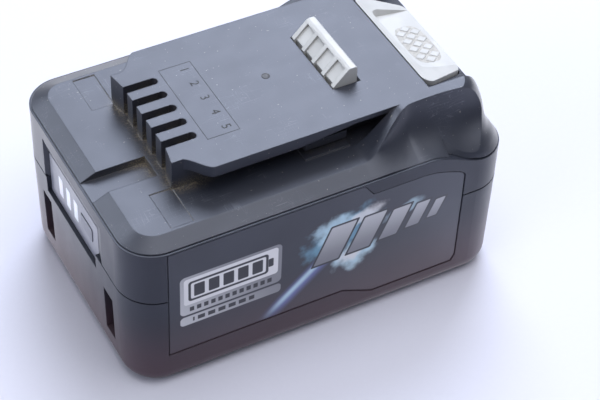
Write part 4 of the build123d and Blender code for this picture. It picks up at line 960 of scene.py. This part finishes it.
ink_paint = satin_paint("pad_ink", (0.008, 0.008, 0.010), (0.016, 0.016, 0.019), 1.5 * mm,
                        (0.55, 0.7), (0.3 * mm, 0.005 * mm), 0.02 * mm)
numbers = bmesh.new()
for step in range(slot_count):
    across = ((slot_count - 1) / 2 - step) * number_pitch
    spot = Vector((number_row_x, across, platform_z + ink_height / 2))
    part = number_mesh(str(step + 1), number_size, spot)
    numbers.from_mesh(part)
    bpy.data.meshes.remove(part)
number_print = bpy.data.meshes.new("slot_numbers")
numbers.to_mesh(number_print)
numbers.free()
keep_mesh("slot_numbers", number_print, ink_paint, "case")
print("numbers:", len(number_print.polygons), "faces")

# %% [markdown]
# The frame is one closed ribbon with a square section: four points at each corner, joined to the
# next corner's four. A curve with a bevel would round the corners, which print doesn't do.

# %% Print the thin frame round the numbers
border_front = -26.3 * mm
border_rear = -16.4 * mm
border_half = 16 * mm
border_width = 0.16 * mm


def ribbon_loop(corners, width, bottom, top):
    """A closed flat ribbon along corners, as a solid with square section."""
    shape = bmesh.new()
    count = len(corners)
    centre = sum((Vector(c) for c in corners), Vector((0, 0))) / count
    rings = []
    for corner in corners:
        spot = Vector(corner)
        away = spot - centre
        outward = Vector((math.copysign(1, away.x), math.copysign(1, away.y))) * width / 2
        outer, inner = spot + outward, spot - outward
        rings.append([shape.verts.new((p.x, p.y, level)) for p, level in
                      ((outer, bottom), (outer, top), (inner, top), (inner, bottom))])
    for i in range(count):
        join_rings(shape, rings[i], rings[(i + 1) % count])
    return close_mesh(shape, "ribbon")


border_corners = [(border_front, -border_half), (border_rear, -border_half),
                  (border_rear, border_half), (border_front, border_half)]
border = ribbon_loop(border_corners, border_width, platform_z, platform_z + ink_height)
keep_mesh("number_frame", border, ink_paint, "case")
print("frame:", len(border.polygons), "faces")

# %% [markdown]
# ## The moulding mark
# A round mark, where the mould's ejector pin touched, lies in the middle of the platform. It is
# a low ring with a dished middle, turned from a short profile. Painted on, it would not catch
# the light at its rim.

# %% Turn the moulding mark
def turned_mesh(profile, count):
    """Surface of revolution about Z from (radius, height) pairs."""
    shape = bmesh.new()
    rings = []
    for radius, height in profile:
        if radius == 0:
            rings.append([shape.verts.new((0, 0, height))])
            continue
        turns = [2 * math.pi * i / count for i in range(count)]
        rings.append([shape.verts.new((radius * math.cos(turn), radius * math.sin(turn), height))
                      for turn in turns])
    for lower, upper in zip(rings, rings[1:]):
        if len(lower) == len(upper):
            join_rings(shape, lower, upper)
            continue
        for i in range(count):
            j = (i + 1) % count
            if len(upper) == 1:
                shape.faces.new((lower[i], lower[j], upper[0]))
            else:
                shape.faces.new((lower[0], upper[j], upper[i]))
    return close_mesh(shape, "turned", smooth=True)


mark_profile = [(0, 0), (1.25 * mm, 0), (1.22 * mm, 0.09 * mm), (1.05 * mm, 0.10 * mm),
                (0.95 * mm, 0.03 * mm), (0.4 * mm, 0.02 * mm), (0, 0.02 * mm)]
mark_segments = 32
mark_x = 0.2 * mm
mark_y = 0.7 * mm
mark_mesh = turned_mesh(mark_profile, mark_segments)
mark_mesh.transform(Matrix.Translation((mark_x, mark_y, platform_z)))
mark_paint = satin_paint("moulding_mark", (0.045, 0.046, 0.055), (0.07, 0.07, 0.078), 0.8 * mm,
                         (0.45, 0.6), (0.25 * mm, 0.01 * mm), 0.05 * mm)
keep_mesh("moulding_mark", mark_mesh, mark_paint, "case")
print("mark:", len(mark_mesh.polygons), "faces")

# %% [markdown]
# ## The grip of the thumb button
# A net of shallow valleys gives the thumb hold. What stands between the valleys is a field of
# low pyramids with cut tops, so the field is built from them, on the sloping floor of the dish.
# A bump map would draw the net too, but it would vanish at a low angle and in the exported mesh.

# %% Lay the grip pyramids on the dish floor
dish_front = Vector((43.0 * mm, 62.6 * mm))
dish_rear = Vector((54.8 * mm, 61.0 * mm))
floor_slope = (dish_rear.y - dish_front.y) / (dish_rear.x - dish_front.x)
grip_middle_x = 49.5 * mm
grip_middle_y = -1.9 * mm
grip_half_x = 3.0 * mm
grip_half_y = 8.0 * mm
pad_across = 3.8 * mm
pad_along = 4.9 * mm
pad_foot = 0.84
pad_top = pad_foot * 0.78
pad_root = -0.05 * mm
grip_height = 0.24 * mm
grip_rows = range(-8, 9)


def on_dish(x, y, height):
    return (x, y, dish_front.y + (x - dish_front.x) * floor_slope + height)


def in_grip(x, y):
    return abs(x - grip_middle_x) < grip_half_x and abs(y - grip_middle_y) < grip_half_y


def pad_ring(shape, x, y, share, height):
    """Four points of a diamond that fills a share of its place in the net."""
    reach_x = pad_along / 2 * share
    reach_y = pad_across / 2 * share
    return [shape.verts.new(on_dish(x + sx * reach_x, y + sy * reach_y, height))
            for sx, sy in ((1, 0), (0, 1), (-1, 0), (0, -1))]


grip = bmesh.new()
pads = 0
for row in grip_rows:
    for column in grip_rows:
        x = grip_middle_x + row * pad_along / 2
        y = grip_middle_y + column * pad_across / 2
        if (row + column) % 2 or not in_grip(x, y):
            continue
        low = pad_ring(grip, x, y, pad_foot, pad_root)
        high = pad_ring(grip, x, y, pad_top, grip_height)
        join_rings(grip, low, high)
        grip.faces.new(high)
        grip.faces.new(list(reversed(low)))
        pads += 1
keep_mesh("thumb_grip", close_mesh(grip, "thumb_grip"), grip_paint, "latch")
print("grip:", pads, "pyramids")

# %% [markdown]
# Tan grime fills the valleys. It is a thin sheet under the pyramids that shows between them. Its
# outline lies between an oval and a rectangle: it is an oval whose sine and cosine are raised to
# a power below one. A separate sheet keeps the tan out of the pads' own plastic.

# %% Fill the valleys with grime
grime_half_x = 4.6 * mm
grime_half_y = 8.9 * mm
grime_points = 28
grime_roundness = 0.6
grime_height = 0.03 * mm


def bulged(value):
    return math.copysign(abs(value) ** grime_roundness, value)


grime_angles = [2 * math.pi * i / grime_points for i in range(grime_points)]
outline = [(grip_middle_x + grime_half_x * bulged(math.cos(angle)),
            grip_middle_y + grime_half_y * bulged(math.sin(angle))) for angle in grime_angles]
grime = bmesh.new()
lower = [grime.verts.new(on_dish(x, y, 0)) for x, y in outline]
upper = [grime.verts.new(on_dish(x, y, grime_height)) for x, y in outline]
grime.faces.new(upper)
grime.faces.new(list(reversed(lower)))
join_rings(grime, lower, upper)
grime_paint = satin_paint("grip_grime", (0.42, 0.405, 0.38), (0.53, 0.515, 0.49), 1.1 * mm,
                          (0.6, 0.75), (0.3 * mm, 0.01 * mm), 0.02 * mm)
keep_mesh("grip_grime", close_mesh(grime, "grip_grime"), grime_paint, "latch")
print("grime:", len(outline), "points round it")

# %% [markdown]
# ## Latch springs
# Two coils push the latch up. Their end turns lie flat, as on a bought spring: the wire climbs
# slowly there, and evenly in between. A torus per turn would be quicker to make, but a spring is
# one wire.

# %% Helpers that wind a spring
wire = 0.7 * mm
wire_sides = 8
coil_radius = 2.45 * mm
coil_turns = 6
steps_per_turn = 20
closed_pitch = 1.05 * wire


def climb(share, closed):
    """Height share after a share of the turns. The first and last turn rise by closed only."""
    end = 1 / coil_turns
    if share < end:
        return share / end * closed
    if share > 1 - end:
        return 1 - (1 - share) / end * closed
    return closed + (share - end) / (1 - 2 * end) * (1 - 2 * closed)


def coil_mesh(middle_x, middle_y, foot, length):
    """One wire, wound upwards from foot, with a flat face at both ends."""
    shape = bmesh.new()
    steps = steps_per_turn * coil_turns
    rise = length - wire
    rings = []
    for i in range(steps + 1):
        turn = 2 * math.pi * coil_turns * i / steps
        level = foot + wire / 2 + rise * climb(i / steps, closed_pitch / rise)
        ring = []
        for k in range(wire_sides):
            angle = 2 * math.pi * k / wire_sides
            reach = coil_radius + wire / 2 * math.cos(angle)
            x = middle_x + reach * math.cos(turn)
            y = middle_y + reach * math.sin(turn)
            ring.append(shape.verts.new((x, y, level + wire / 2 * math.sin(angle))))
        rings.append(ring)
    for here, there in zip(rings, rings[1:]):
        join_rings(shape, here, there)
    shape.faces.new(list(reversed(rings[0])))
    shape.faces.new(rings[-1])
    return close_mesh(shape, "coil", smooth=True)


print("one coil:", steps_per_turn * coil_turns, "steps")

# %% [markdown]
# A rigid coil would come through the thumb button when that is pressed. So each solid coil is
# wound again between its own foot and top, and its pressed length is worked out.

# %% Wind the springs
latch_travel = 5.2 * mm
for side in ("near", "far"):
    low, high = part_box("latch_spring_" + side)
    length = high[2] - low[2]
    pressed = length - latch_travel
    mesh = coil_mesh((low[0] + high[0]) / 2, (low[1] + high[1]) / 2, low[2], length)
    coil = keep_mesh("latch_coil_" + side, mesh, spring_paint, "case")
    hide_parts("latch_spring_" + side)
    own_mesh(coil)
    print(coil.name, "at rest", round(length / mm, 2), "mm, pressed", round(pressed / mm, 2))
